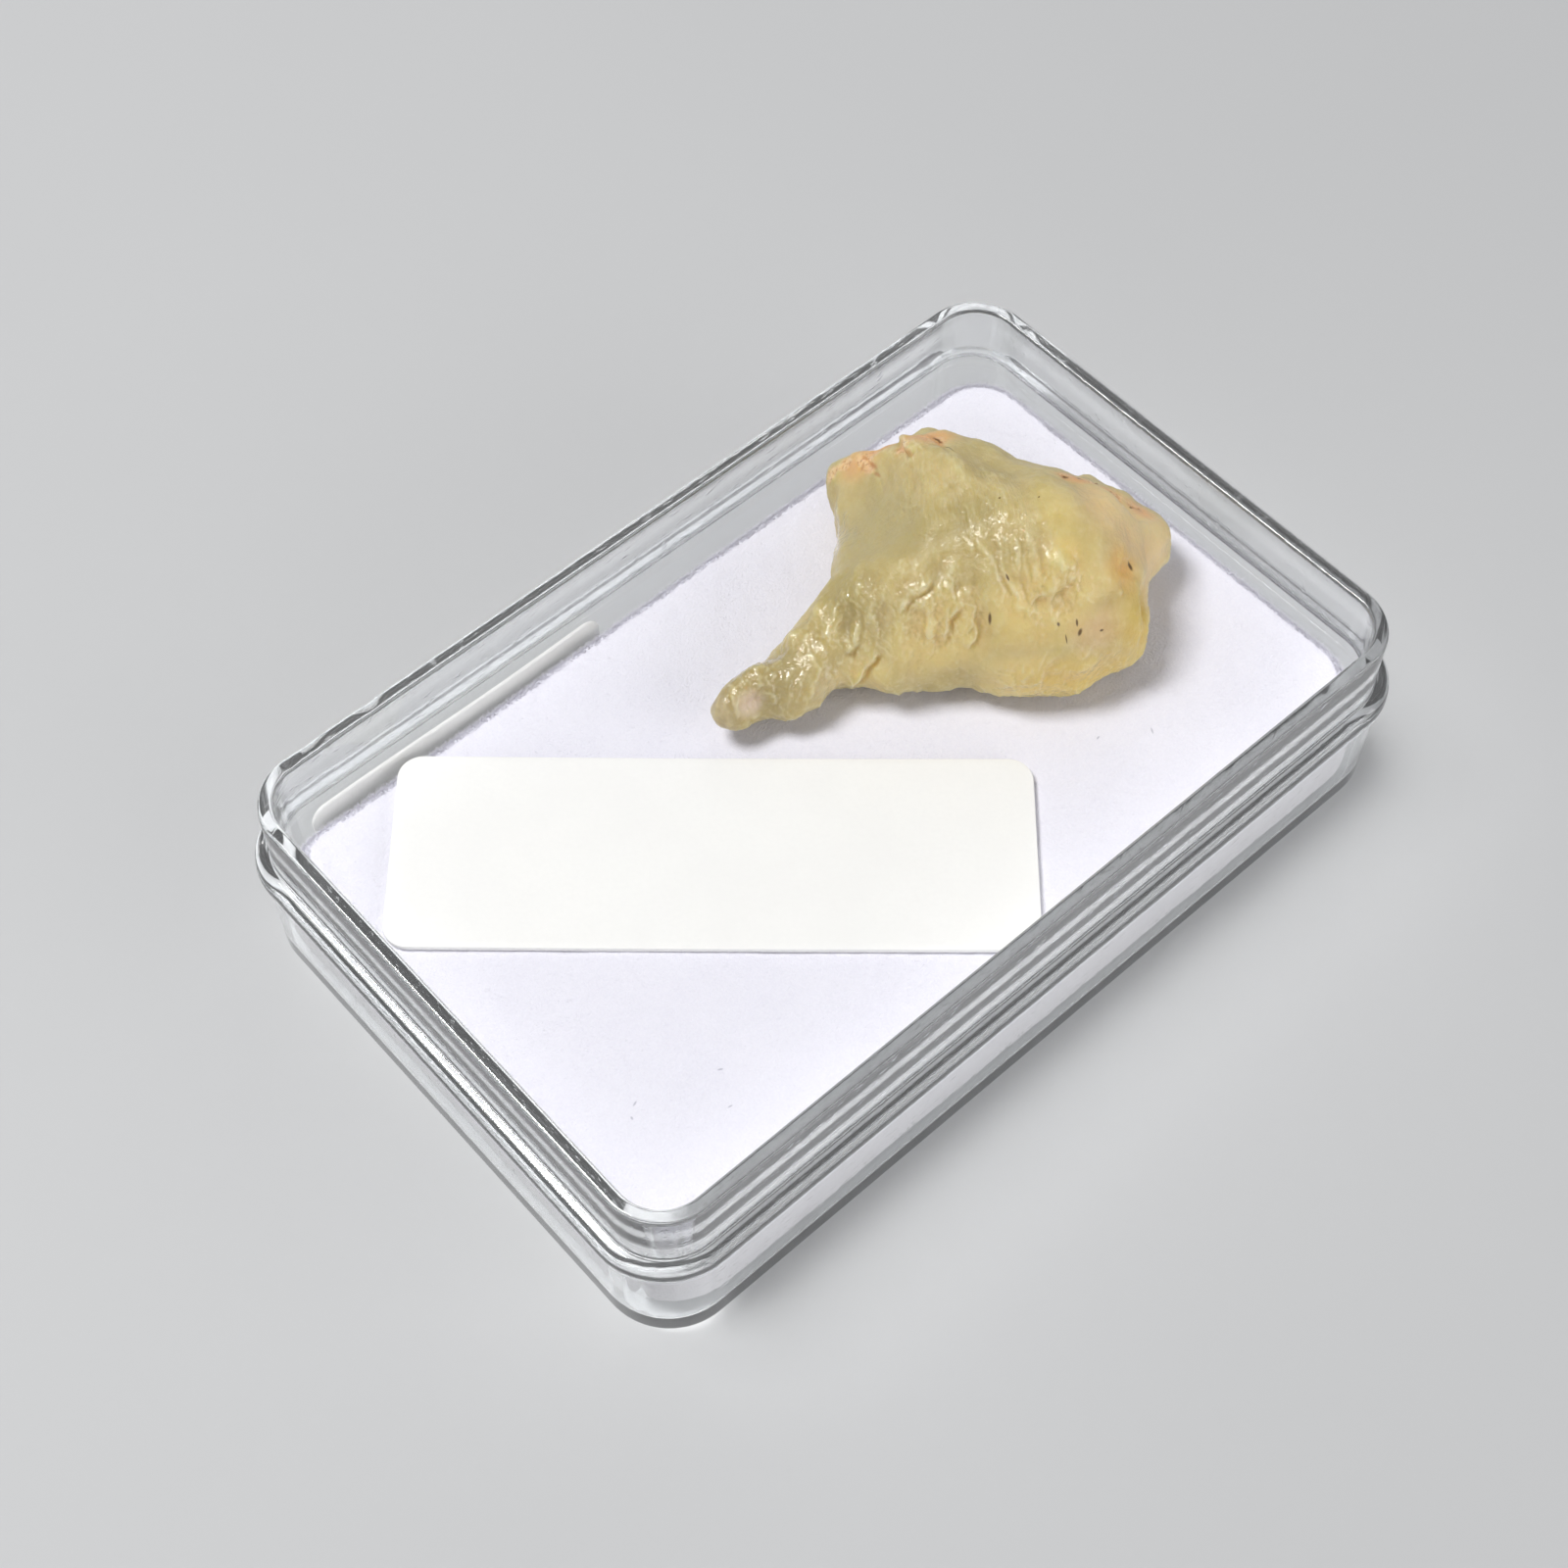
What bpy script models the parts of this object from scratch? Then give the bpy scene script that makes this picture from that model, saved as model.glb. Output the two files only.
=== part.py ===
"""A piece of raw desert glass on a flocked pad in a small clear display tray.

The origin is under the middle of the tray's floor, X runs along the tray's long
side and +Z is up. The stone is drawn in a frame of its own, whose X axis runs from
the tip of its tail to its thick end, and is then turned into place.
"""
import math

import bmesh
import bpy
import numpy as np
from mathutils import Vector, noise

MM = 0.001

# Clear tray
RIM_LENGTH = 50.5 * MM
RIM_WIDTH = 31.8 * MM
RIM_CORNER = 3.2 * MM
RIM_WALL = 0.78 * MM
TRAY_HEIGHT = 12.0 * MM
LEDGE_REACH = 0.85 * MM
LEDGE_LOW = 6.6 * MM
LEDGE_HIGH = 8.1 * MM
LEDGE_ROUND = 0.7 * MM
LOWER_WALL_REACH = 0.5 * MM
FLOOR_ROUND = 1.0 * MM
FLOOR_THICKNESS = 1.1 * MM
RIM_ROUND = 0.2 * MM
JOINT_OVERLAP = 0.6 * MM

# Facets of a rounded upright corner, and of a large and a small rounded edge
CORNER_STEPS = 8
ROUND_STEPS = 4
SMALL_ROUND_STEPS = 2

# Clearance kept between pieces that touch
GAP = 0.3 * MM

# Flocked pad
PAD_LENGTH = 48.2 * MM
PAD_WIDTH = 28.95 * MM
PAD_CENTRE = (0.07 * MM, -0.325 * MM)
PAD_TOP = 7.3 * MM
PAD_CORNER = 2.8 * MM
PAD_ROUND = 0.5 * MM

# Name card
CARD_LENGTH = 32.2 * MM
CARD_WIDTH = 11.1 * MM
CARD_THICKNESS = 0.3 * MM
CARD_CORNER = 1.3 * MM
CARD_CENTRE = (-8.3 * MM, -0.22 * MM)
CARD_TURN = math.radians(-42.1)

# Paper slip on edge behind the pad
SLIP_LENGTH = 18.6 * MM
SLIP_THICKNESS = 0.3 * MM
SLIP_TOP = 8.2 * MM
SLIP_CORNER = 1.0 * MM
SLIP_CENTRE = (-12.8 * MM, 14.65 * MM)

# Stone: its place on the pad and its outline, from the tail's tip along the far
# edge to the thick end (FAR_EDGE), and back along the near edge (NEAR_EDGE)
STONE_CENTRE = (9.32 * MM, 3.08 * MM)
STONE_TURN = math.radians(-15.2)
FAR_EDGE = [(-12.9, -1.5), (-12.6, -0.8), (-11.8, -0.2), (-10.1, 0.3), (-8.8, 0.6), (-7.2, 1.3), (-5.6, 2.2),
            (-4.2, 3.1), (-3.1, 4.4), (-2.4, 5.6), (-1.7, 7.2), (-1.5, 8.8), (-0.4, 10.0), (1.7, 9.6),
            (3.1, 9.0), (4.3, 9.7), (5.3, 9.2), (7.1, 6.5), (8.8, 3.7), (9.9, 2.9), (10.9, 2.6),
            (12.3, 0.8), (13.2, -0.1), (13.6, -1.4)]
NEAR_EDGE = [(13.6, -1.4), (12.8, -3.2), (10.8, -3.9), (10.5, -5.6), (9.3, -7.3), (8.0, -8.0), (6.5, -8.1),
             (4.8, -8.2), (2.9, -7.6), (0.6, -6.6), (-0.7, -5.3), (-3.1, -4.2), (-4.5, -4.0), (-5.4, -2.9),
             (-6.4, -2.5), (-8.1, -3.3), (-9.2, -3.3), (-10.4, -2.5), (-12.1, -2.8), (-12.9, -1.5)]
SLAB_THICKNESS = 4.0 * MM
FINE_VOXEL = 0.34 * MM
STONE_VOXEL = 0.58 * MM

# Stone: height of its crest over the edge at stations along it, and the shape of
# its cross section, in millimetres
CREST_STATIONS = [(-13.0, 0.6), (-11.6, 1.5), (-9.4, 1.4), (-7.0, 2.1), (-4.0, 3.6), (-1.0, 5.2), (3.0, 6.6),
                  (7.0, 6.4), (10.0, 4.6), (12.0, 2.4), (13.6, 0.4)]
FAR_EDGE_TOP = 2.3
NEAR_EDGE_TOP = 3.0
TAIL_EDGE_TOP = 1.7
EDGE_UNDERSIDE = 0.9
UNDERSIDE_ROUND = 2.4
CREST_SHARE = 0.5
FAR_FULLNESS = 2.3
NEAR_FULLNESS = 2.3
THICK_END_FULLNESS = 1.7
THICK_END_RUN = (4.0, 10.0)
TAIL_RUN = (-8.0, -2.0)

# Stone: shallow bowls and flow flutes on its upper face, each with its centre, half
# length, half width, turn of its length in degrees from X, and depth, in millimetres
LEFT_FACE = [(-1.0, 3.0, 4.4, 2.3, 72, 0.6)]
FLUTES = [(0.5, -3.2, 2.3, 0.6, 80, 0.36), (1.9, -3.8, 2.1, 0.5, 80, 0.36), (2.8, -4.2, 1.8, 0.45, 74, 0.34),
          (3.9, -4.1, 1.5, 0.5, 70, 0.3), (1.5, 1.3, 3.4, 0.8, 78, 0.3), (3.1, 0.9, 3.2, 0.85, 76, 0.28),
          (4.7, -0.4, 2.6, 0.9, 72, 0.24)]
SCALLOPS = [(-5.4, -1.2, 0.95, 0.75, 60, 0.5), (-2.6, -2.0, 0.9, 0.7, 20, 0.32), (-0.9, -2.2, 0.9, 0.6, 30, 0.3),
            (-0.3, -3.4, 0.7, 0.6, 60, 0.3), (-1.4, -3.8, 0.8, 0.7, 20, 0.36), (-2.6, -3.5, 0.7, 0.6, 0, 0.3),
            (-4.2, -2.6, 1.0, 0.7, 35, 0.32), (-5.1, -3.1, 0.9, 0.6, 10, 0.3), (0.3, -5.0, 0.8, 0.6, 50, 0.3),
            (5.4, -5.4, 0.8, 0.6, 80, 0.28), (3.2, -5.4, 0.6, 0.5, 60, 0.26), (4.5, -6.1, 0.8, 0.6, 20, 0.3),
            (-3.6, -0.4, 1.0, 0.8, 70, 0.26), (-7.3, -1.0, 0.9, 0.6, 30, 0.28)]
PITS = [(1.7, 6.4, 0.8, 0.4, 100, 0.35), (3.0, 5.1, 0.6, 0.35, 120, 0.35), (8.4, -5.5, 0.55, 0.35, 70, 0.3),
        (-11.3, -2.3, 1.1, 0.6, 15, 0.35)]
BOWLS = LEFT_FACE + FLUTES + SCALLOPS + PITS

# Stone: rounded knobs, each with its centre, radius and height in millimetres
KNOBS = [(-6.2, 0.5, 0.8, 0.28), (-7.7, 0.3, 0.7, 0.22), (-10.1, -0.9, 0.8, 0.22), (4.6, -4.7, 0.8, 0.26),
         (3.8, -5.4, 0.6, 0.2), (0.3, 8.6, 0.8, 0.25), (4.0, 8.2, 0.8, 0.22), (10.6, 1.9, 0.8, 0.22),
         (9.2, 2.9, 0.7, 0.18), (12.0, 0.3, 0.8, 0.22)]

# Stone: raised lip along the concave edge beside the tail
LIP_HEIGHT = 0.22
LIP_INSET = 0.5
LIP_WIDTH = 0.45
LIP_START = (-5.0, -3.5)
LIP_END = (-0.5, 1.0)

# Stone: how far a face must look up, as the height of its normal, to carry the
# drawn relief
RELIEF_FACING = (0.0, 0.5)

# Stone: natural unevenness all over, in millimetres
LUMP_SIZE = 2.6
LUMP_HEIGHT = 0.32
CRUMPLE_SIZE = 1.1
CRUMPLE_HEIGHT = 0.12


def clear_scene():
    for item in list(bpy.data.objects):
        bpy.data.objects.remove(item, do_unlink=True)


def new_collection(name):
    collection = bpy.data.collections.new(name)
    bpy.context.scene.collection.children.link(collection)
    return collection


def plain_material(name, colour, roughness, transmission=0.0, ior=1.5):
    material = bpy.data.materials.new(name)
    material.use_nodes = True
    shader = material.node_tree.nodes["Principled BSDF"]
    shader.inputs["Base Color"].default_value = (*colour, 1.0)
    shader.inputs["Roughness"].default_value = roughness
    shader.inputs["Metallic"].default_value = 0.0
    shader.inputs["Transmission Weight"].default_value = transmission
    shader.inputs["IOR"].default_value = ior
    return material


def add_object(name, mesh, collection, material=None):
    item = bpy.data.objects.new(name, mesh)
    collection.objects.link(item)
    if material:
        mesh.materials.clear()
        mesh.materials.append(material)
    return item


def add_cutter(name, mesh, collection):
    cutter = add_object(name, mesh, collection)
    cutter.hide_render = True
    cutter.display_type = "WIRE"
    return cutter


def level_loop(shape, height):
    """The edges of the face that lies level at this height."""
    faces = [face for face in shape.faces if all(abs(vert.co.z - height) < 1e-7 for vert in face.verts)]
    return [edge for face in faces for edge in face.edges]


def rounded_box(name, length, width, low, high, corner, round_low=0.0, round_high=0.0, steps=ROUND_STEPS):
    """A box about the Z axis with rounded upright edges, and rounded ends if asked."""
    shape = bmesh.new()
    bmesh.ops.create_cube(shape, size=1.0)
    bmesh.ops.scale(shape, vec=(length, width, high - low), verts=shape.verts)
    bmesh.ops.translate(shape, vec=(0.0, 0.0, (low + high) / 2), verts=shape.verts)
    uprights = [edge for edge in shape.edges if abs(edge.verts[0].co.z - edge.verts[1].co.z) > (high - low) / 2]
    bmesh.ops.bevel(shape, geom=uprights, offset=corner, segments=CORNER_STEPS, profile=0.5, affect="EDGES")
    for height, radius in ((low, round_low), (high, round_high)):
        if radius:
            loop = level_loop(shape, height)
            bmesh.ops.bevel(shape, geom=loop, offset=radius, segments=steps, profile=0.5, affect="EDGES")
    bmesh.ops.recalc_face_normals(shape, faces=shape.faces)
    mesh = bpy.data.meshes.new(name)
    shape.to_mesh(mesh)
    shape.free()
    return mesh


def add_boolean(item, other, operation):
    modifier = item.modifiers.new(other.name, "BOOLEAN")
    modifier.operation = operation
    modifier.solver = "EXACT"
    modifier.object = other


def evaluated_mesh(item):
    graph = bpy.context.evaluated_depsgraph_get()
    return bpy.data.meshes.new_from_object(item.evaluated_get(graph))


def make_tray(parts, cutters):
    def grown(reach):
        return RIM_LENGTH + 2 * reach, RIM_WIDTH + 2 * reach

    material = plain_material("clear_plastic", (0.93, 0.95, 0.98), 0.03, transmission=1.0, ior=1.59)
    joint = (LEDGE_LOW + LEDGE_HIGH) / 2
    length, width = grown(LOWER_WALL_REACH)
    lower = rounded_box("display_tray", length, width, 0.0, joint, RIM_CORNER + LOWER_WALL_REACH,
                        round_low=FLOOR_ROUND)
    tray = add_object("display_tray", lower, parts, material)

    length, width = grown(LEDGE_REACH)
    ledge = rounded_box("tray_ledge", length, width, LEDGE_LOW, LEDGE_HIGH, RIM_CORNER + LEDGE_REACH,
                        round_low=LEDGE_ROUND, round_high=LEDGE_ROUND)
    add_boolean(tray, add_cutter("tray_ledge", ledge, cutters), "UNION")

    rim = rounded_box("tray_rim", RIM_LENGTH, RIM_WIDTH, joint - JOINT_OVERLAP, TRAY_HEIGHT, RIM_CORNER,
                      round_high=RIM_ROUND, steps=SMALL_ROUND_STEPS)
    add_boolean(tray, add_cutter("tray_rim", rim, cutters), "UNION")

    inside = rounded_box("tray_inside", RIM_LENGTH - 2 * RIM_WALL, RIM_WIDTH - 2 * RIM_WALL, FLOOR_THICKNESS,
                         TRAY_HEIGHT + JOINT_OVERLAP, RIM_CORNER - RIM_WALL, round_low=RIM_ROUND, steps=SMALL_ROUND_STEPS)
    add_boolean(tray, add_cutter("tray_inside", inside, cutters), "DIFFERENCE")


def make_pad(parts):
    material = plain_material("white_flock", (0.90, 0.89, 0.93), 1.0)
    mesh = rounded_box("flocked_pad", PAD_LENGTH, PAD_WIDTH, FLOOR_THICKNESS + GAP, PAD_TOP, PAD_CORNER,
                       round_low=PAD_ROUND, round_high=PAD_ROUND, steps=SMALL_ROUND_STEPS)
    pad = add_object("flocked_pad", mesh, parts, material)
    pad.location = (*PAD_CENTRE, 0.0)


def make_card(parts):
    material = plain_material("white_card", (0.93, 0.92, 0.90), 0.55)
    low = PAD_TOP + GAP
    mesh = rounded_box("name_card", CARD_LENGTH, CARD_WIDTH, low, low + CARD_THICKNESS, CARD_CORNER)
    card = add_object("name_card", mesh, parts, material)
    card.location = (*CARD_CENTRE, 0.0)
    card.rotation_euler = (0.0, 0.0, CARD_TURN)


def make_slip(parts):
    """The slip is a rounded box laid out flat and then stood on its long edge."""
    material = plain_material("white_slip", (0.90, 0.90, 0.88), 0.6)
    low = FLOOR_THICKNESS + GAP
    height = SLIP_TOP - low
    half = SLIP_THICKNESS / 2
    mesh = rounded_box("paper_slip", SLIP_LENGTH, height, -half, half, SLIP_CORNER)
    slip = add_object("paper_slip", mesh, parts, material)
    slip.location = (*SLIP_CENTRE, low + height / 2)
    slip.rotation_euler = (math.pi / 2, 0.0, 0.0)


def stone_slab(parts):
    """The stone's outline as a flat slab, closed and welded."""
    curve = bpy.data.curves.new("stone_outline", "CURVE")
    curve.dimensions = "2D"
    curve.fill_mode = "BOTH"
    curve.extrude = SLAB_THICKNESS / 2
    curve.resolution_u = 4
    outline = FAR_EDGE[:-1] + NEAR_EDGE[:-1]
    spline = curve.splines.new("BEZIER")
    spline.bezier_points.add(len(outline) - 1)
    spline.use_cyclic_u = True
    for point, (x, y) in zip(spline.bezier_points, outline):
        point.co = (x * MM, y * MM, 0.0)
        point.handle_left_type = "AUTO"
        point.handle_right_type = "AUTO"
    guide = bpy.data.objects.new("stone_outline", curve)
    parts.objects.link(guide)
    mesh = evaluated_mesh(guide)
    bpy.data.objects.remove(guide, do_unlink=True)
    shape = bmesh.new()
    shape.from_mesh(mesh)
    bmesh.ops.remove_doubles(shape, verts=shape.verts, dist=1e-6)
    bmesh.ops.recalc_face_normals(shape, faces=shape.faces)
    shape.to_mesh(mesh)
    shape.free()
    return mesh


def remeshed(mesh, voxel, parts, smooth_passes=0):
    """The same body with even faces of about one voxel's size."""
    item = bpy.data.objects.new("remesh_guide", mesh)
    parts.objects.link(item)
    modifier = item.modifiers.new("remesh", "REMESH")
    modifier.mode = "VOXEL"
    modifier.voxel_size = voxel
    if smooth_passes:
        smooth = item.modifiers.new("smooth", "SMOOTH")
        smooth.factor = 0.5
        smooth.iterations = smooth_passes
    even = evaluated_mesh(item)
    bpy.data.objects.remove(item, do_unlink=True)
    return even


def read_points(mesh):
    """The mesh's points in millimetres."""
    values = np.empty(len(mesh.vertices) * 3)
    mesh.vertices.foreach_get("co", values)
    return values.reshape(-1, 3) / MM


def write_points(mesh, points):
    mesh.vertices.foreach_set("co", (points * MM).ravel())
    mesh.update()


def distance_to_line(points, line):
    """The distance in plan from each point to an open line of points."""
    nearest = np.full(len(points), np.inf)
    for start, end in zip(line[:-1], line[1:]):
        start = np.array(start)
        run = np.array(end) - start
        share = np.clip((points[:, :2] - start) @ run / (run @ run), 0.0, 1.0)
        nearest = np.minimum(nearest, np.linalg.norm(points[:, :2] - start - share[:, None] * run, axis=1))
    return nearest


def smooth_step(low, high, value):
    share = np.clip((value - low) / (high - low), 0.0, 1.0)
    return share * share * (3 - 2 * share)


def cross_section(share, place):
    """Height of a cross section, 0 to 1, at this share of the way from its far edge."""
    thick_end = smooth_step(*THICK_END_RUN, place)
    fullness = FAR_FULLNESS + (THICK_END_FULLNESS - FAR_FULLNESS) * thick_end
    far = 1 - np.clip(1 - share / CREST_SHARE, 0.0, 1.0) ** fullness
    fullness = NEAR_FULLNESS + (THICK_END_FULLNESS - NEAR_FULLNESS) * thick_end
    near_run = np.clip((share - CREST_SHARE) / (1 - CREST_SHARE), 0.0, 1.0)
    near = 1 - near_run ** fullness
    return np.where(share < CREST_SHARE, far, near)


def raise_body(mesh):
    """Turn the flat slab into the stone's body: low far edge, crest, steep near side."""
    points = read_points(mesh)
    far = distance_to_line(points, FAR_EDGE)
    near = distance_to_line(points, NEAR_EDGE)
    share = far / (far + near)
    stations, crests = zip(*CREST_STATIONS)
    crest = np.interp(points[:, 0], stations, crests)
    edge_top = FAR_EDGE_TOP + (NEAR_EDGE_TOP - FAR_EDGE_TOP) * share
    body = smooth_step(*TAIL_RUN, points[:, 0])
    edge_top = TAIL_EDGE_TOP + (edge_top - TAIL_EDGE_TOP) * body
    top = edge_top + crest * cross_section(share, points[:, 0])
    inward = np.clip(1 - np.minimum(far, near) / UNDERSIDE_ROUND, 0.0, 1.0)
    underside = EDGE_UNDERSIDE * (1 - np.sqrt(1 - inward ** 2))
    level = np.clip(points[:, 2] / (SLAB_THICKNESS / MM) + 0.5, 0.0, 1.0)
    points[:, 2] = underside + level * (top - underside)
    write_points(mesh, points)


def bowl_depth(points):
    """Depth of the upper face's bowls, whose rims meet in crisp ridges."""
    deepest = np.zeros(len(points))
    for x, y, half_length, half_width, turn, depth in BOWLS:
        turn = math.radians(turn)
        offset_x = points[:, 0] - x
        offset_y = points[:, 1] - y
        along = (offset_x * math.cos(turn) + offset_y * math.sin(turn)) / half_length
        across = (offset_y * math.cos(turn) - offset_x * math.sin(turn)) / half_width
        deepest = np.maximum(deepest, depth * np.clip(1 - along ** 2 - across ** 2, 0.0, 1.0))
    return deepest


def knob_height(points):
    height = np.zeros(len(points))
    for x, y, radius, rise in KNOBS:
        reach = ((points[:, 0] - x) ** 2 + (points[:, 1] - y) ** 2) / radius ** 2
        height += rise * np.clip(1 - reach, 0.0, 1.0) ** 2
    return height


def lip_height(points):
    """A lip a little inside the far edge, between the tail and the first lobe."""
    inset = (distance_to_line(points, FAR_EDGE) - LIP_INSET) / LIP_WIDTH
    beside_tail = smooth_step(*LIP_START, points[:, 0]) * (1 - smooth_step(*LIP_END, points[:, 0]))
    return LIP_HEIGHT * beside_tail * np.exp(-inset ** 2)


def natural_lumps(points):
    """A gently uneven surface all over, in two sizes."""
    heights = []
    for point in points:
        place = Vector(point)
        lump = noise.noise(place / LUMP_SIZE) * LUMP_HEIGHT
        crumple = noise.noise(place / CRUMPLE_SIZE) * CRUMPLE_HEIGHT
        heights.append(lump + crumple)
    return np.array(heights)


def carve_relief(mesh):
    points = read_points(mesh)
    normals = np.array([vertex.normal for vertex in mesh.vertices])
    upward = smooth_step(*RELIEF_FACING, normals[:, 2])
    drawn = knob_height(points) + lip_height(points) - bowl_depth(points)
    height = natural_lumps(points) + drawn * upward
    points += normals * height[:, None]
    points[:, 2] -= points[:, 2].min()
    write_points(mesh, points)


def make_stone(parts):
    material = plain_material("desert_glass", (0.78, 0.71, 0.40), 0.3, transmission=0.9, ior=1.46)
    mesh = remeshed(stone_slab(parts), FINE_VOXEL, parts)
    raise_body(mesh)
    mesh = remeshed(mesh, STONE_VOXEL, parts, smooth_passes=2)
    carve_relief(mesh)
    mesh.name = "desert_glass"
    stone = add_object("desert_glass", mesh, parts, material)
    stone.location = (*STONE_CENTRE, PAD_TOP + GAP)
    stone.rotation_euler = (0.0, 0.0, STONE_TURN)
    mesh.shade_smooth()


def main():
    clear_scene()
    parts = new_collection("desert_glass_display")
    cutters = new_collection("cutters")
    make_tray(parts, cutters)
    make_pad(parts)
    make_card(parts)
    make_slip(parts)
    make_stone(parts)


main()
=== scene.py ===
"""The looks of a raw piece of desert glass in its clear display tray.

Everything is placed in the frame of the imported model: metres, +X along the tray,
+Z up, with the origin under the middle of the tray's floor. The stone's relief and
its colours are drawn in the stone's own frame, in millimetres: its first axis runs
from the tip of the tail to the thick end, its second across the stone, and its
third up from the stone's lowest point.
"""
import math

import bpy
import numpy as np
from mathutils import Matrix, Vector, noise


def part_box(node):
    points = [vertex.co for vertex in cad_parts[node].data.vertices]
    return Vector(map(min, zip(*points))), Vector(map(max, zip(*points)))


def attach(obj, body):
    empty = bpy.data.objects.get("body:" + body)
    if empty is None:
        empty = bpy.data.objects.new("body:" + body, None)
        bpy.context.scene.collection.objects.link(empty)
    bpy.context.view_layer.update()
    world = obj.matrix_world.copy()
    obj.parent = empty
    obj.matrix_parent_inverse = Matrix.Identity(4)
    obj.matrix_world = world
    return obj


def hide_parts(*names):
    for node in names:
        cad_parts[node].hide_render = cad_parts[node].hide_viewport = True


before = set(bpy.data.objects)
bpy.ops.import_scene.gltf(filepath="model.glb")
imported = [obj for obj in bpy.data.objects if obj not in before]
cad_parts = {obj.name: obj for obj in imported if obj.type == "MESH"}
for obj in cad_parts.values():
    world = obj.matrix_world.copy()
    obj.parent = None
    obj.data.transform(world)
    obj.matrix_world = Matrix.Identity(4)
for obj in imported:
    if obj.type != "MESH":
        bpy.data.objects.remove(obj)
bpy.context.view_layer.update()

MM = 0.001

# Camera, in millimetres
CAMERA_PLACE = (-50.13, -52.27, 117.88)
CAMERA_AIM = (0.32, 4.18, 0.0)
CAMERA_LENS = 59.39
CAMERA_SENSOR = 36.0

# Tray: where its surfaces lie outside the rim's outer face, and their heights, in
# millimetres
RIM_CORNER = 3.2
RIM_WALL = 0.78
RIM_ROUND = 0.2
BEAD_REACH = 0.85
BEAD_LOW = 6.6
BEAD_HIGH = 8.1
BEAD_ROUND = 0.7
LOWER_WALL_REACH = 0.5
FOOT_ROUND = 1.0
FLOOR_THICKNESS = 1.1
INNER_ROUND = 0.25
FILLET = 0.14

# Stone's place on the pad, as in the model
STONE_CENTRE = (9.32, 3.08)
STONE_TURN = math.radians(-15.2)


# Helpers for points and meshes


def smooth_step(low, high, value):
    share = np.clip((value - low) / (high - low), 0.0, 1.0)
    return share * share * (3 - 2 * share)


def read_points(mesh):
    """The mesh's points in millimetres."""
    values = np.empty(len(mesh.vertices) * 3)
    mesh.vertices.foreach_get("co", values)
    return values.reshape(-1, 3) / MM


def write_points(mesh, points):
    mesh.vertices.foreach_set("co", (points * MM).ravel())
    mesh.update()


def read_normals(mesh):
    values = np.empty(len(mesh.vertices) * 3)
    mesh.vertex_normals.foreach_get("vector", values)
    return values.reshape(-1, 3)


def noise_at(points, size, shift=0.0):
    """Smooth noise, about -1 to 1, whose lumps are this size."""
    offset = Vector((shift, shift, shift))
    return np.array([noise.noise(Vector(point) / size + offset) for point in points])


def new_object(name, mesh, material):
    item = bpy.data.objects.new(name, mesh)
    bpy.context.scene.collection.objects.link(item)
    mesh.materials.clear()
    mesh.materials.append(material)
    return item


def mesh_of(name, points, faces, sharp_angle=None):
    """A mesh from points in millimetres, smooth but for edges over the sharp angle."""
    mesh = bpy.data.meshes.new(name)
    mesh.from_pydata((np.asarray(points) * MM).tolist(), [], faces)
    mesh.update()
    mesh.shade_smooth()
    if sharp_angle:
        mesh.set_sharp_from_angle(angle=math.radians(sharp_angle))
    return mesh


def refined(node, voxel, smooth_passes, levels=1):
    """A copy of a CAD node's mesh with even faces of about one voxel's size."""
    item = bpy.data.objects.new("refine_guide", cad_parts[node].data.copy())
    bpy.context.scene.collection.objects.link(item)
    weld = item.modifiers.new("weld", "WELD")
    weld.merge_threshold = 1e-6
    if levels:
        soften = item.modifiers.new("soften", "SUBSURF")
        soften.levels = levels
        soften.render_levels = levels
    even = item.modifiers.new("even", "REMESH")
    even.mode = "VOXEL"
    even.voxel_size = voxel * MM
    if smooth_passes:
        smooth = item.modifiers.new("smooth", "SMOOTH")
        smooth.factor = 0.5
        smooth.iterations = smooth_passes
    graph = bpy.context.evaluated_depsgraph_get()
    mesh = bpy.data.meshes.new_from_object(item.evaluated_get(graph))
    bpy.data.objects.remove(item, do_unlink=True)
    mesh.shade_smooth()
    return mesh


# Helpers for materials


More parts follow.
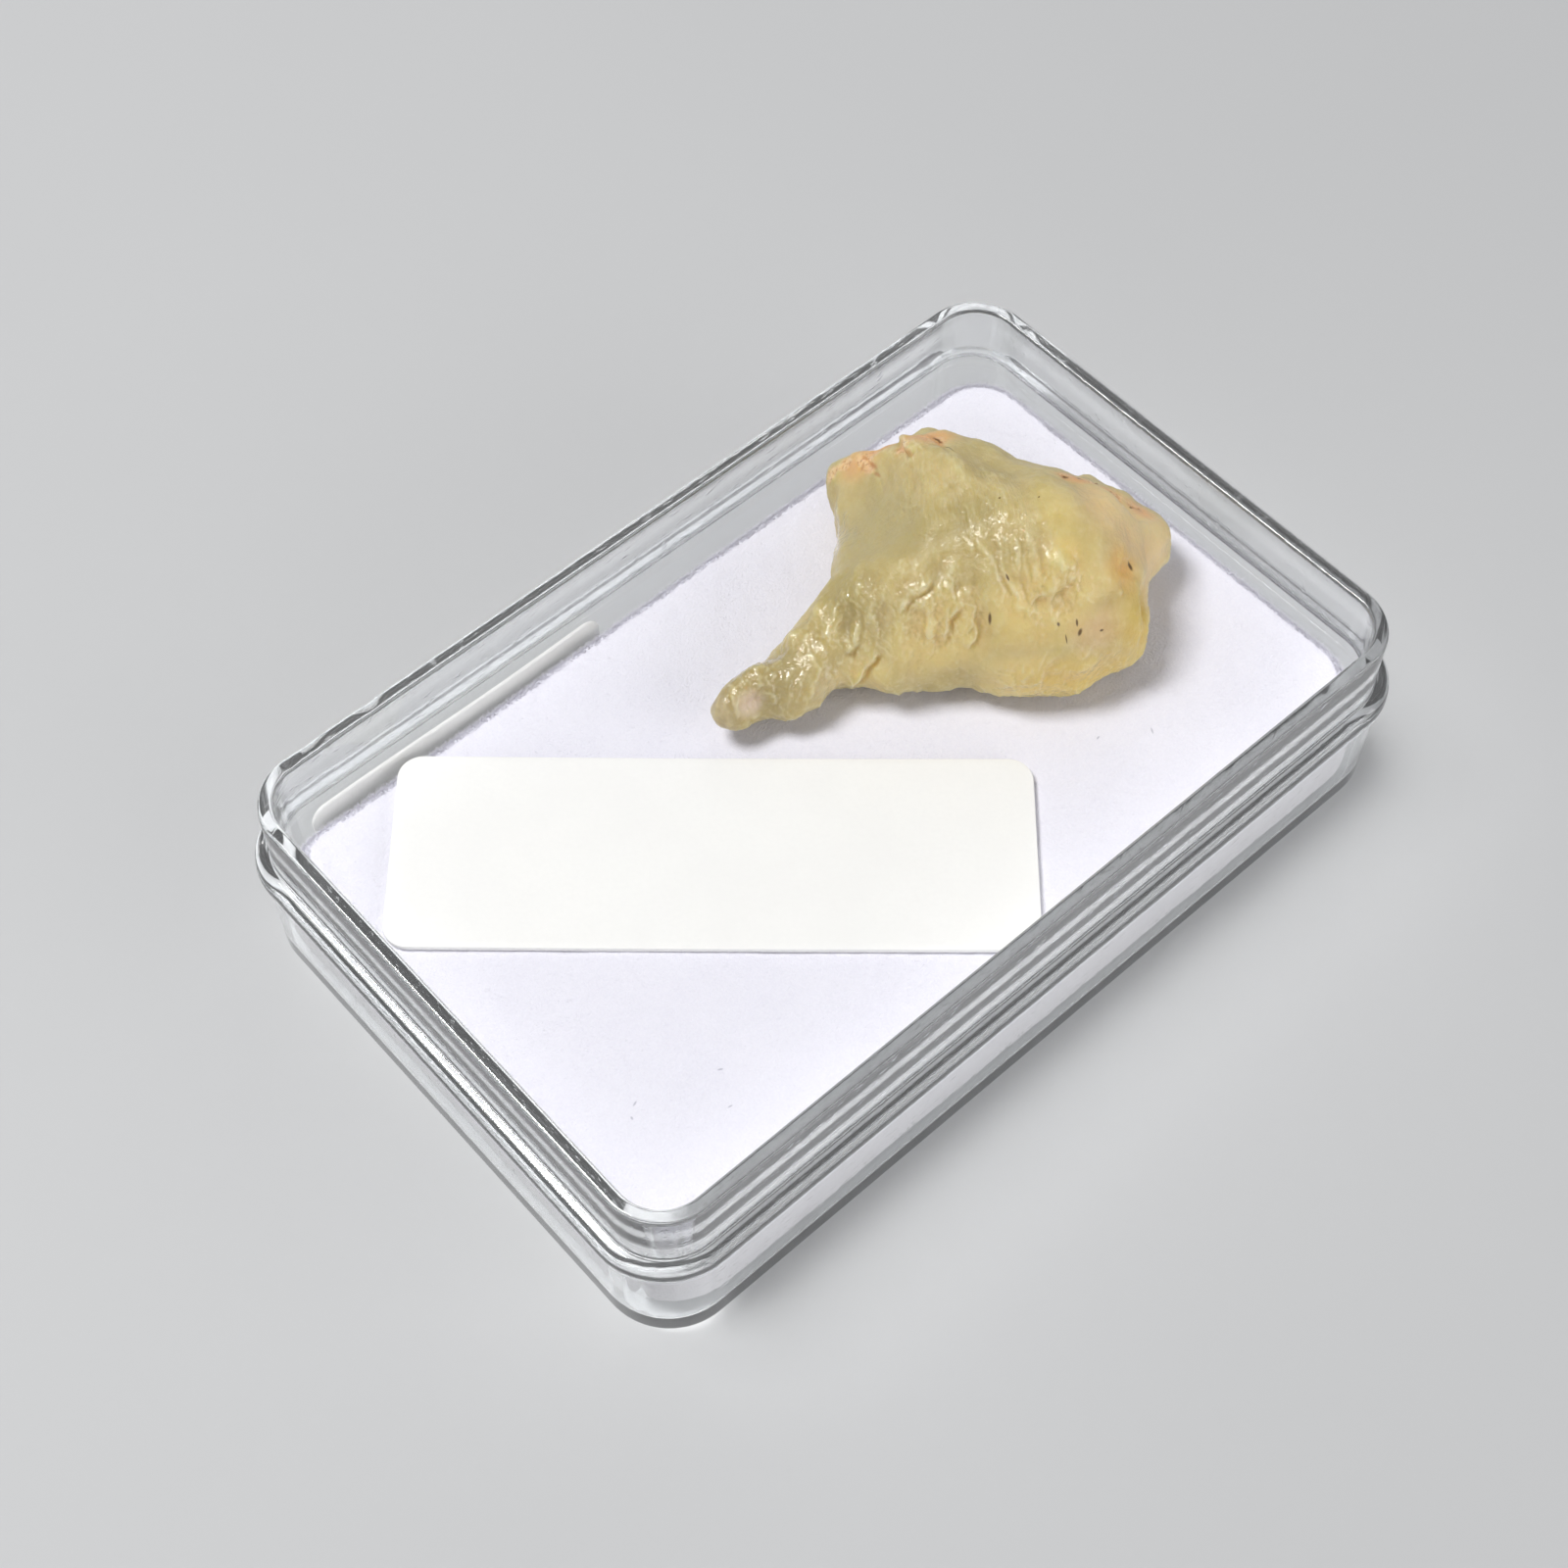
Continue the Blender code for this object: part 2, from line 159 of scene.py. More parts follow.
class Nodes:
    """A material's node tree, with short calls for the nodes that the materials use."""

    def __init__(self, name):
        self.material = bpy.data.materials.new(name)
        self.material.use_nodes = True
        self.tree = self.material.node_tree
        self.shader = self.tree.nodes["Principled BSDF"]
        self.output = self.tree.nodes["Material Output"]
        self.place = self.add("ShaderNodeTexCoord").outputs["Object"]

    def add(self, kind, **settings):
        node = self.tree.nodes.new(kind)
        for name, value in settings.items():
            setattr(node, name, value)
        return node

    def link(self, source, target):
        self.tree.links.new(source, target)

    def feed(self, target, value):
        """Sets a socket from another socket, or from a plain value."""
        if isinstance(value, bpy.types.NodeSocket):
            self.link(value, target)
        elif isinstance(value, tuple) and len(value) == 3 and target.type == "RGBA":
            target.default_value = (*value, 1.0)
        else:
            target.default_value = value

    def stretched(self, scale, turn=0.0):
        """The place with each axis scaled, after a turn about Z."""
        mapping = self.add("ShaderNodeMapping", vector_type="TEXTURE")
        mapping.inputs["Rotation"].default_value = (0.0, 0.0, turn)
        mapping.inputs["Scale"].default_value = tuple(1.0 / size for size in scale)
        self.link(self.place, mapping.inputs["Vector"])
        return mapping.outputs["Vector"]

    def noise(self, size, detail=3.0, roughness=0.55, distortion=0.0, place=None):
        """Noise from 0 to 1 whose lumps are this size, in millimetres."""
        node = self.add("ShaderNodeTexNoise")
        self.link(place or self.place, node.inputs["Vector"])
        node.inputs["Scale"].default_value = 1.0 / (size * MM)
        node.inputs["Detail"].default_value = detail
        node.inputs["Roughness"].default_value = roughness
        node.inputs["Distortion"].default_value = distortion
        return node.outputs["Fac"]

    def cells(self, size, feature="F1", randomness=1.0, place=None):
        node = self.add("ShaderNodeTexVoronoi", feature=feature)
        self.link(place or self.place, node.inputs["Vector"])
        node.inputs["Scale"].default_value = 1.0 / (size * MM)
        node.inputs["Randomness"].default_value = randomness
        return node.outputs["Distance"]

    def attribute(self, name):
        return self.add("ShaderNodeAttribute", attribute_name=name).outputs["Fac"]

    def math(self, operation, first, second=0.0, third=0.0, clamp=False):
        node = self.add("ShaderNodeMath", operation=operation, use_clamp=clamp)
        for socket, value in zip(node.inputs, (first, second, third)):
            self.feed(socket, value)
        return node.outputs["Value"]

    def ramp(self, value, low, high, to_low=0.0, to_high=1.0):
        """The value taken smoothly from one range to another, and held at its ends."""
        node = self.add("ShaderNodeMapRange", interpolation_type="SMOOTHSTEP")
        for socket, number in zip(node.inputs, (value, low, high, to_low, to_high)):
            self.feed(socket, number)
        return node.outputs["Result"]

    def blend(self, share, first, second, blend_type="MIX"):
        """Mixes two colours by a share from 0 to 1."""
        node = self.add("ShaderNodeMix", data_type="RGBA", blend_type=blend_type)
        self.feed(node.inputs["Factor"], share)
        self.feed(node.inputs[6], first)
        self.feed(node.inputs[7], second)
        return node.outputs[2]

    def bump(self, height, depth, normal=None, strength=1.0):
        """Bump whose full height is this depth, in millimetres."""
        node = self.add("ShaderNodeBump")
        node.inputs["Strength"].default_value = strength
        node.inputs["Distance"].default_value = depth * MM
        self.feed(node.inputs["Height"], height)
        if normal:
            self.link(normal, node.inputs["Normal"])
        return node.outputs["Normal"]

    def spot(self, centre, reach, turn=0.0):
        """1 at a centre, falling to 0 at this reach along each axis, in millimetres."""
        mapping = self.add("ShaderNodeMapping", vector_type="TEXTURE")
        mapping.inputs["Location"].default_value = tuple(value * MM for value in centre)
        mapping.inputs["Rotation"].default_value = (0.0, 0.0, turn)
        mapping.inputs["Scale"].default_value = tuple(value * MM for value in reach)
        self.link(self.place, mapping.inputs["Vector"])
        length = self.add("ShaderNodeVectorMath", operation="LENGTH")
        self.link(mapping.outputs["Vector"], length.inputs[0])
        return self.ramp(length.outputs["Value"], 1.0, 0.35)

    def set(self, **values):
        """Sets sockets of the shader, whose names have underscores for spaces."""
        for name, value in values.items():
            self.feed(self.shader.inputs[name.replace("_", " ")], value)


# Clear plastic tray

TRAY_LOW, TRAY_HIGH = (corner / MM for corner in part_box("display_tray"))
TRAY_TOP = TRAY_HIGH.z
RIM_HALF_LENGTH = TRAY_HIGH.x - BEAD_REACH
RIM_HALF_WIDTH = TRAY_HIGH.y - BEAD_REACH
CORNER_POINTS = 40
LONG_SIDE_POINTS = 80
SHORT_SIDE_POINTS = 50
INNER_WALL_LEVELS = 14

# Unevenness of the moulded inner wall: its height, its run along the wall and its
# far longer run up the wall, in millimetres
WALL_RIPPLE = 0.022
WALL_RIPPLE_RUN = 0.7
WALL_RIPPLE_RISE = 9.0

# Dents in the rim: place, reach and depth, in millimetres
RIM_DENTS = [((-17.2, 15.7), 0.35, 0.07), ((-20.9, 15.7), 0.7, 0.05), ((-22.1, 15.4), 0.3, 0.09)]


def rounded_path(half_length, half_width, corner, long_points, short_points):
    """A rounded rectangle as its corners' centre line and the way out from it."""
    core, out = [], []
    centres = [(half_length - corner, half_width - corner), (corner - half_length, half_width - corner),
               (corner - half_length, corner - half_width), (half_length - corner, corner - half_width)]
    for number, centre in enumerate(centres):
        start = number * math.pi / 2
        for step in range(CORNER_POINTS + 1):
            angle = start + step / CORNER_POINTS * math.pi / 2
            core.append(centre)
            out.append((math.cos(angle), math.sin(angle)))
        following = centres[(number + 1) % 4]
        count = long_points if number % 2 == 0 else short_points
        for step in range(1, count):
            share = step / count
            core.append(tuple(a + (b - a) * share for a, b in zip(centre, following)))
            out.append((math.cos(start + math.pi / 2), math.sin(start + math.pi / 2)))
    return np.array(core), np.array(out)


def arc(centre, radius, start, end, steps):
    """Points of an arc in a profile, from one angle in degrees to another."""
    angles = np.radians(np.linspace(start, end, steps + 1))
    return [(centre[0] + radius * math.cos(angle), centre[1] + radius * math.sin(angle)) for angle in angles]


def tray_profile():
    """The wall's cross section from under the floor, over the rim, to the inner floor."""
    foot = (LOWER_WALL_REACH - FOOT_ROUND, FOOT_ROUND)
    bead_centre = BEAD_REACH - BEAD_ROUND
    low_centre = BEAD_LOW + BEAD_ROUND
    meeting = -math.degrees(math.acos((LOWER_WALL_REACH - bead_centre) / BEAD_ROUND))
    outside = arc(foot, FOOT_ROUND, -90, 0, 14)
    outside += arc((bead_centre, low_centre), BEAD_ROUND, meeting + 4, 0, 12)
    outside += arc((bead_centre, BEAD_HIGH - BEAD_ROUND), BEAD_ROUND, 0, 88, 14)
    outside += arc((FILLET, BEAD_HIGH + FILLET), FILLET, -90, -180, 5)
    outside += arc((-RIM_ROUND, TRAY_TOP - RIM_ROUND), RIM_ROUND, 0, 90, 6)
    inside = arc((RIM_ROUND - RIM_WALL, TRAY_TOP - RIM_ROUND), RIM_ROUND, 90, 180, 6)
    floor = FLOOR_THICKNESS + INNER_ROUND
    heights = np.linspace(TRAY_TOP - RIM_ROUND, floor, INNER_WALL_LEVELS + 2)[1:-1]
    inside += [(-RIM_WALL, height) for height in heights]
    inside += arc((-RIM_WALL - INNER_ROUND, floor), INNER_ROUND, 0, -90, 6)
    return outside, inside


def tray_mesh():
    core, out = rounded_path(RIM_HALF_LENGTH, RIM_HALF_WIDTH, RIM_CORNER, LONG_SIDE_POINTS, SHORT_SIDE_POINTS)
    outside, inside = tray_profile()
    count = len(core)
    run = np.concatenate([[0.0], np.cumsum(np.linalg.norm(np.diff(core + out * RIM_CORNER, axis=0), axis=1))])
    at_corner = np.abs(out).min(axis=1) * math.sqrt(2)
    rings = []
    for number, (reach, height) in enumerate(outside + inside):
        ripple = np.zeros(count)
        if number > len(outside):
            places = np.column_stack([np.cos(run / run[-1] * 2 * math.pi) * run[-1] / (2 * math.pi),
                                      np.sin(run / run[-1] * 2 * math.pi) * run[-1] / (2 * math.pi),
                                      np.full(count, height * WALL_RIPPLE_RUN / WALL_RIPPLE_RISE)])
            ripple = WALL_RIPPLE * (0.25 + at_corner) * noise_at(places, WALL_RIPPLE_RUN)
        plan = core + out * (RIM_CORNER + reach + ripple)[:, None]
        rings.append(np.column_stack([plan, np.full(count, height)]))
    points = np.concatenate(rings)
    for (x, y), reach, depth in RIM_DENTS:
        near = np.exp(-((points[:, 0] - x) ** 2 + (points[:, 1] - y) ** 2) / reach ** 2)
        near *= smooth_step(TRAY_TOP - 1.4, TRAY_TOP, points[:, 2])
        points[:, 2] -= near * depth
        points[:, 1] -= near * depth * 0.7
    faces = []
    for ring in range(len(rings) - 1):
        for step in range(count):
            a, b = ring * count + step, ring * count + (step + 1) % count
            faces.append((a, b, b + count, a + count))
    faces.append(tuple(reversed(range(count))))
    last = (len(rings) - 1) * count
    faces.append(tuple(range(last, last + count)))
    return mesh_of("tray_clear", points, faces, sharp_angle=38)


def clear_plastic():
    """Clear polystyrene with faint haze, flow lines and fine scuffs."""
    nodes = Nodes("clear_polystyrene")
    haze = nodes.noise(6.0, detail=4.0)
    scuffs = nodes.noise(0.35, detail=2.0, place=nodes.stretched((0.12, 1.0, 1.0), math.radians(24)))
    worn = nodes.ramp(scuffs, 0.62, 0.78)
    flow = nodes.noise(1.6, detail=2.0, place=nodes.stretched((1.0, 1.0, 0.15)))
    nodes.set(Base_Color=nodes.blend(haze, (0.955, 0.972, 0.985), (0.975, 0.985, 0.99)),
              Roughness=nodes.math("ADD", nodes.ramp(haze, 0.35, 0.75, 0.012, 0.045), nodes.math("MULTIPLY", worn, 0.08)),
              Normal=nodes.bump(nodes.math("ADD", nodes.math("MULTIPLY", flow, 0.7), nodes.math("MULTIPLY", worn, 0.3)), 0.012))
    nodes.set(Transmission_Weight=0.95, IOR=1.59)
    pass_light(nodes, 0.88)
    return nodes.material


def pass_light(nodes, share):
    """Lets most of the lamps' light straight through, in place of a hard glass shadow."""
    see_through = nodes.add("ShaderNodeBsdfTransparent")
    mix = nodes.add("ShaderNodeMixShader")
    ray = nodes.add("ShaderNodeLightPath").outputs["Is Shadow Ray"]
    nodes.link(nodes.math("MULTIPLY", ray, share), mix.inputs["Fac"])
    nodes.link(nodes.shader.outputs["BSDF"], mix.inputs[1])
    nodes.link(see_through.outputs["BSDF"], mix.inputs[2])
    nodes.link(mix.outputs["Shader"], nodes.output.inputs["Surface"])


def make_tray():
    tray = new_object("tray_clear", tray_mesh(), clear_plastic())
    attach(tray, "root")
    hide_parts("display_tray")
    return tray


# Flocked pad

PAD_LOW, PAD_HIGH = (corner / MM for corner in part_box("flocked_pad"))
PAD_CORNER = 2.8
PAD_VOXEL = 0.26
PILE_HEIGHT = 0.2
PAD_WAVE = (3.2, 0.05)
PAD_TUFT = (0.55, 0.035)
FIBRE_WIDTH = 0.014
FRINGE_COUNT = 26000

# Where the pad's corner is pressed out beyond its round: place in plan, reach and move
PRESSED_CORNER = ((-23.3, 13.4), 1.5, (-0.42, 0.42))
PILE_COUNT = 24000


def press_corner(points):
    place, reach, move = PRESSED_CORNER
    near = np.exp(-((points[:, :2] - place) ** 2).sum(axis=1) / reach ** 2)
    points[:, :2] += near[:, None] * np.array(move)
    return points


def pad_mesh():
    """The pad with its pile standing a little over the foam, softly uneven."""
    mesh = refined("flocked_pad", PAD_VOXEL, smooth_passes=2, levels=0)
    points = read_points(mesh)
    normals = read_normals(mesh)
    uneven = noise_at(points, PAD_WAVE[0]) * PAD_WAVE[1] + noise_at(points, PAD_TUFT[0], 5.0) * PAD_TUFT[1]
    points += normals * uneven[:, None]
    points[:, 2] += PILE_HEIGHT * smooth_step(PAD_HIGH.z - 0.8, PAD_HIGH.z - 0.2, points[:, 2])
    points = press_corner(points)
    points[:, 0] = np.maximum(points[:, 0], PAD_LOW.x)
    points[:, 1] = np.minimum(points[:, 1], PAD_HIGH.y)
    write_points(mesh, points)
    return mesh


def spikes(name, roots, tips, width):
    """Many thin closed three-sided fibres as one mesh."""
    along = tips - roots
    along /= np.linalg.norm(along, axis=1)[:, None]
    helper = np.where(np.abs(along[:, 2:]) < 0.7, [[0.0, 0.0, 1.0]], [[1.0, 0.0, 0.0]])
    side = np.cross(along, helper)
    side /= np.linalg.norm(side, axis=1)[:, None]
    other = np.cross(along, side)
    rows = []
    for turn in (0.0, 2 * math.pi / 3, 4 * math.pi / 3):
        rows.append(roots + width * (math.cos(turn) * side + math.sin(turn) * other))
    rows.append(tips)
    points = np.stack(rows, axis=1).reshape(-1, 3)
    first = np.arange(len(roots)) * 4
    corners = [(0, 1, 3), (1, 2, 3), (2, 0, 3), (0, 2, 1)]
    faces = np.concatenate([np.column_stack([first + a, first + b, first + c]) for a, b, c in corners])
    return mesh_of(name, points, faces.tolist())


def fringe_mesh():
    """Fibres that stand out round the pad's upper edge."""
    rng = np.random.default_rng(11)
    half_length = (PAD_HIGH.x - PAD_LOW.x) / 2
    half_width = (PAD_HIGH.y - PAD_LOW.y) / 2
    middle = np.array([(PAD_HIGH.x + PAD_LOW.x) / 2, (PAD_HIGH.y + PAD_LOW.y) / 2])
    core, out = rounded_path(half_length, half_width, PAD_CORNER, LONG_SIDE_POINTS, SHORT_SIDE_POINTS)
    steps = np.linalg.norm(np.roll(core + out * PAD_CORNER, -1, axis=0) - core - out * PAD_CORNER, axis=1)
    chosen = rng.choice(len(core), FRINGE_COUNT, p=steps / steps.sum())
    following = (chosen + 1) % len(core)
    share = rng.random(FRINGE_COUNT)[:, None]
    line = core[chosen] * (1 - share) + core[following] * share
    way = out[chosen] * (1 - share) + out[following] * share
    rise = rng.uniform(0.0, 1.0, FRINGE_COUNT)
    angle = rise * math.pi / 2
    edge_round = 0.5
    reach = PAD_CORNER - edge_round + edge_round * np.cos(angle)
    height = PAD_HIGH.z + PILE_HEIGHT - edge_round + edge_round * np.sin(angle)
    roots = press_corner(np.column_stack([middle + line + way * reach[:, None], height]))
    lean = rng.normal(0.0, 0.45, (FRINGE_COUNT, 3))
    direction = np.column_stack([way * np.cos(angle)[:, None], np.sin(angle)]) + lean
    direction /= np.linalg.norm(direction, axis=1)[:, None]
    length = 0.14 + 0.22 * rng.random(FRINGE_COUNT) ** 2
    tips = roots + direction * length[:, None]
    return spikes("pad_fringe", roots - direction * 0.08, tips, FIBRE_WIDTH)


def pile_mesh():
    """Short fibres over the pad's top, but not under the card."""
    rng = np.random.default_rng(12)
    inset = 0.4
    plan = np.column_stack([rng.uniform(PAD_LOW.x + inset, PAD_HIGH.x - inset, PILE_COUNT),
                            rng.uniform(PAD_LOW.y + inset, PAD_HIGH.y - inset, PILE_COUNT)])
    plan = plan[~under_card(plan)]
    roots = np.column_stack([plan, np.full(len(plan), PAD_HIGH.z + PILE_HEIGHT - 0.06)])
    direction = np.column_stack([rng.normal(0.0, 0.55, (len(plan), 2)), np.ones(len(plan))])
    direction /= np.linalg.norm(direction, axis=1)[:, None]
    length = 0.12 + 0.1 * rng.random(len(plan))
    return spikes("pad_pile", roots, roots + direction * length[:, None], FIBRE_WIDTH)


# Lint on the pad: place, reach along each axis and turn in degrees
LINT = [((-17.65, 11.74), (0.16, 0.10), 40), ((-20.01, -8.05), (0.22, 0.07), 20), ((-15.84, -9.37), (0.2, 0.07), -30),
        ((13.37, -9.6), (0.3, 0.06), 60), ((11.0, -8.05), (0.18, 0.07), 10), ((-20.6, -8.54), (0.14, 0.08), 80),
        ((-16.77, -11.15), (0.2, 0.06), -10)]


def white_flock():
    """Matt white flock with a lilac cast, faint clouds, painted shade that darkens its sides downwards, and dust low on
    its sides.
    """
    nodes = Nodes("white_flock")
    clouds = nodes.noise(4.5, detail=3.0)
    grain = nodes.noise(0.12, detail=2.0)
    colour = nodes.blend(nodes.ramp(clouds, 0.3, 0.7), (0.815, 0.805, 0.885), (0.835, 0.825, 0.90))
    colour = nodes.blend(nodes.ramp(grain, 0.3, 0.75, 0.0, 0.35), colour, (0.90, 0.89, 0.95))
    height = nodes.add("ShaderNodeSeparateXYZ")
    nodes.link(nodes.place, height.inputs[0])
    low = nodes.ramp(height.outputs["Z"], 3.4 * MM, 1.6 * MM)
    # Painted shade: the pad's sides turn a warm grey downwards from just under its top
    side = nodes.ramp(height.outputs["Z"], 6.6 * MM, 4.0 * MM)
    colour = nodes.blend(nodes.math("MULTIPLY", side, 0.45), colour, (0.52, 0.48, 0.45))
    dust = nodes.ramp(nodes.cells(0.42), 0.28, 0.16)
    sparse = nodes.ramp(nodes.noise(1.8, detail=1.0), 0.48, 0.58)
    colour = nodes.blend(nodes.math("MULTIPLY", nodes.math("MULTIPLY", dust, sparse), low), colour, (0.05, 0.045, 0.04))
    lint = None
    for (x, y), reach, turn in LINT:
        spot = nodes.spot((x, y, PAD_HIGH.z), (*reach, 1.0), math.radians(turn))
        lint = spot if lint is None else nodes.math("MAXIMUM", lint, spot)
    colour = nodes.blend(nodes.math("MULTIPLY", lint, 0.45), colour, (0.22, 0.22, 0.30))
    nodes.set(Base_Color=colour, Normal=nodes.bump(grain, 0.05))
    nodes.set(Roughness=0.95, Sheen_Weight=0.35, Sheen_Roughness=0.4, Specular_IOR_Level=0.15)
    return nodes.material


def make_pad():
    flock = white_flock()
    pad = new_object("pad_flock", pad_mesh(), flock)
    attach(pad, "root")
    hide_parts("flocked_pad")
    for name, mesh in (("pad_fringe", fringe_mesh()), ("pad_pile", pile_mesh())):
        fibres = new_object(name, mesh, flock)
        fibres.parent = pad


# Name card and paper slip

CARD_TURN = math.radians(-42.1)
CARD_CENTRE = (-8.3, -0.22)
CARD_SIZE = (32.2, 11.1)
CARD_CORNER = 1.3
CARD_BOW = 0.1
SLIP_SIZE = (18.6, 6.8)
SLIP_CORNER = 1.0
SLIP_THICKNESS = 0.18
SLIP_WAVE = 0.05
PAPER_ROUND = 0.05


def under_card(plan):
    """Which plan points lie under the card."""
    offset = plan - np.array(CARD_CENTRE)
    along = offset[:, 0] * math.cos(CARD_TURN) + offset[:, 1] * math.sin(CARD_TURN)
    across = offset[:, 1] * math.cos(CARD_TURN) - offset[:, 0] * math.sin(CARD_TURN)
    return (np.abs(along) < CARD_SIZE[0] / 2) & (np.abs(across) < CARD_SIZE[1] / 2)


def paper_mesh(name, size, corner, thickness, bend):
    """A flat sheet with round corners and soft edges, bent by a function of its plan."""
    half_length, half_width = size[0] / 2, size[1] / 2
    core, out = rounded_path(half_length, half_width, corner, LONG_SIDE_POINTS, SHORT_SIDE_POINTS // 2)
    count = len(core)
    inner = np.linspace(0.04, 1.0, 14)
    edge = arc((-PAPER_ROUND, -thickness / 2 + PAPER_ROUND), PAPER_ROUND, -90, 0, 3)
    edge += arc((-PAPER_ROUND, thickness / 2 - PAPER_ROUND), PAPER_ROUND, 0, 90, 3)
    rings = []
    for share in inner[:-1]:
        rings.append(np.column_stack([(core + out * (corner - PAPER_ROUND)) * share, np.full(count, -thickness / 2)]))
    for reach, height in edge:
        rings.append(np.column_stack([core + out * (corner + reach), np.full(count, height)]))
    for share in inner[-2::-1]:
        rings.append(np.column_stack([(core + out * (corner - PAPER_ROUND)) * share, np.full(count, thickness / 2)]))
    points = np.concatenate(rings)
    points[:, 2] += bend(points[:, 0], points[:, 1])
    faces = []
    for ring in range(len(rings) - 1):
        for step in range(count):
            a, b = ring * count + step, ring * count + (step + 1) % count
            faces.append((a, b, b + count, a + count))
    faces.append(tuple(reversed(range(count))))
    last = (len(rings) - 1) * count
    faces.append(tuple(range(last, last + count)))
    return mesh_of(name, points, faces, sharp_angle=50)


def paper(name, light, shade, glow, depth):
    """White paper with a faint fibre texture that lets light into it to a depth."""
    nodes = Nodes(name)
    fibres = nodes.noise(0.22, detail=4.0, roughness=0.65)
    clouds = nodes.noise(5.0, detail=2.0)
    colour = nodes.blend(nodes.ramp(clouds, 0.3, 0.7, 0.0, 0.5), light, shade)
    colour = nodes.blend(nodes.ramp(fibres, 0.35, 0.75, 0.0, 0.4), colour, shade)
    nodes.set(Base_Color=colour, Roughness=nodes.ramp(fibres, 0.3, 0.7, 0.42, 0.6), Normal=nodes.bump(fibres, 0.012))
    nodes.set(Subsurface_Weight=glow, Subsurface_Radius=(1.0, 1.0, 1.0), Subsurface_Scale=depth * MM)
    nodes.set(Specular_IOR_Level=0.4)
    return nodes.material


def make_card():
    low, high = (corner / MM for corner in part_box("name_card"))
    thickness = high.z - low.z

    def bow(x, y):
        return CARD_BOW * (x / (CARD_SIZE[0] / 2)) ** 2 - CARD_BOW / 2

    mesh = paper_mesh("card_paper", CARD_SIZE, CARD_CORNER, thickness, bow)
    card = new_object("card_paper", mesh, paper("white_card", (0.93, 0.925, 0.90), (0.89, 0.885, 0.865), 0.2, 0.3))
    card.location = (CARD_CENTRE[0] * MM, CARD_CENTRE[1] * MM, (low.z + high.z) / 2 * MM)
    card.rotation_euler = (0.0, 0.0, CARD_TURN)
    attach(card, "root")
    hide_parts("name_card")


def make_slip():
    low, high = (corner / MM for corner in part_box("paper_slip"))

    def wave(x, y):
        return SLIP_WAVE * np.sin(x / SLIP_SIZE[0] * 2 * math.pi + 0.6)

    mesh = paper_mesh("slip_paper", SLIP_SIZE, SLIP_CORNER, SLIP_THICKNESS, wave)
    slip = new_object("slip_paper", mesh, paper("white_slip", (0.80, 0.80, 0.77), (0.74, 0.74, 0.70), 1.0, 0.9))
    slip.location = tuple((a + b) / 2 * MM for a, b in zip(low, high))
    slip.rotation_euler = (math.pi / 2, 0.0, 0.0)
    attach(slip, "root")
    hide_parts("paper_slip")


# Desert glass: its relief

STONE_VOXEL = 0.112
STONE_SMOOTHING = 3
STONE_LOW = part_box("desert_glass")[0].z / MM
WARP = (0.55, 0.09)

# Corrections of the outline: place, reach and move
MOVES = [
    ((-13.2, -1.6, 2.2), 1.3, (-0.35, 0.10, 0.05)),
    ((5.2, 2.4, 8.4), 2.3, (-0.26, -0.78, -0.45)),
    ((8.8, -0.4, 8.2), 1.7, (-0.24, -0.75, -0.45)),
    ((11.4, -1.0, 5.6), 1.5, (-0.72, -0.92, -0.40)),
    ((9.6, -6.5, 4.2), 0.8, (-1.2, 0.20, 0.0)),
    ((9.9, -6.1, 4.6), 0.6, (-0.45, 0.20, 0.0)),
    ((9.9, 0.4, 6.0), 1.5, (-0.16, -0.24, -0.08)),
    ((12.3, -1.1, 3.9), 1.1, (-0.18, -0.14, 0.0)),
    ((10.6, 1.1, 5.3), 1.4, (-0.14, -0.26, -0.05)),
    ((13.0, -1.3, 3.8), 1.1, (-0.18, -0.14, 0.0)),
    ((6.6, 3.2, 6.7), 1.0, (-0.05, -0.13, -0.02)),
    ((10.3, -5.7, 3.4), 0.9, (-0.32, 0.06, 0.0)),
    ((10.2, -5.7, 1.9), 0.9, (-0.32, 0.06, 0.0)),
    ((10.8, -5.9, 4.2), 0.9, (-0.30, 0.08, 0.0)),
    ((2.9, 7.0, 7.2), 1.2, (0.0, -0.08, -0.03)),
    ((3.2, 6.0, 7.6), 1.1, (-0.07, -0.14, -0.05)),
    ((1.1, 7.6, 5.9), 0.55, (-0.09, -0.17, -0.05)),
    ((-5.4, 1.9, 3.0), 1.0, (0.06, -0.21, 0.0)),
    ((10.2, -7.4, 2.6), 1.1, (-0.22, 0.04, 0.0)),
    ((-8.9, 0.2, 2.8), 0.5, (0.10, -0.22, 0.0)),
    ((-6.9, 0.9, 3.8), 0.45, (0.10, -0.20, 0.0)),
    ((-1.5, 9.1, 2.4), 0.9, (0.04, 0.0, 0.0)),
    ((0.7, 7.6, 5.4), 0.5, (-0.02, -0.26, -0.16)),
    ((2.0, 6.7, 6.8), 0.5, (0.0, 0.22, 0.12)),
]

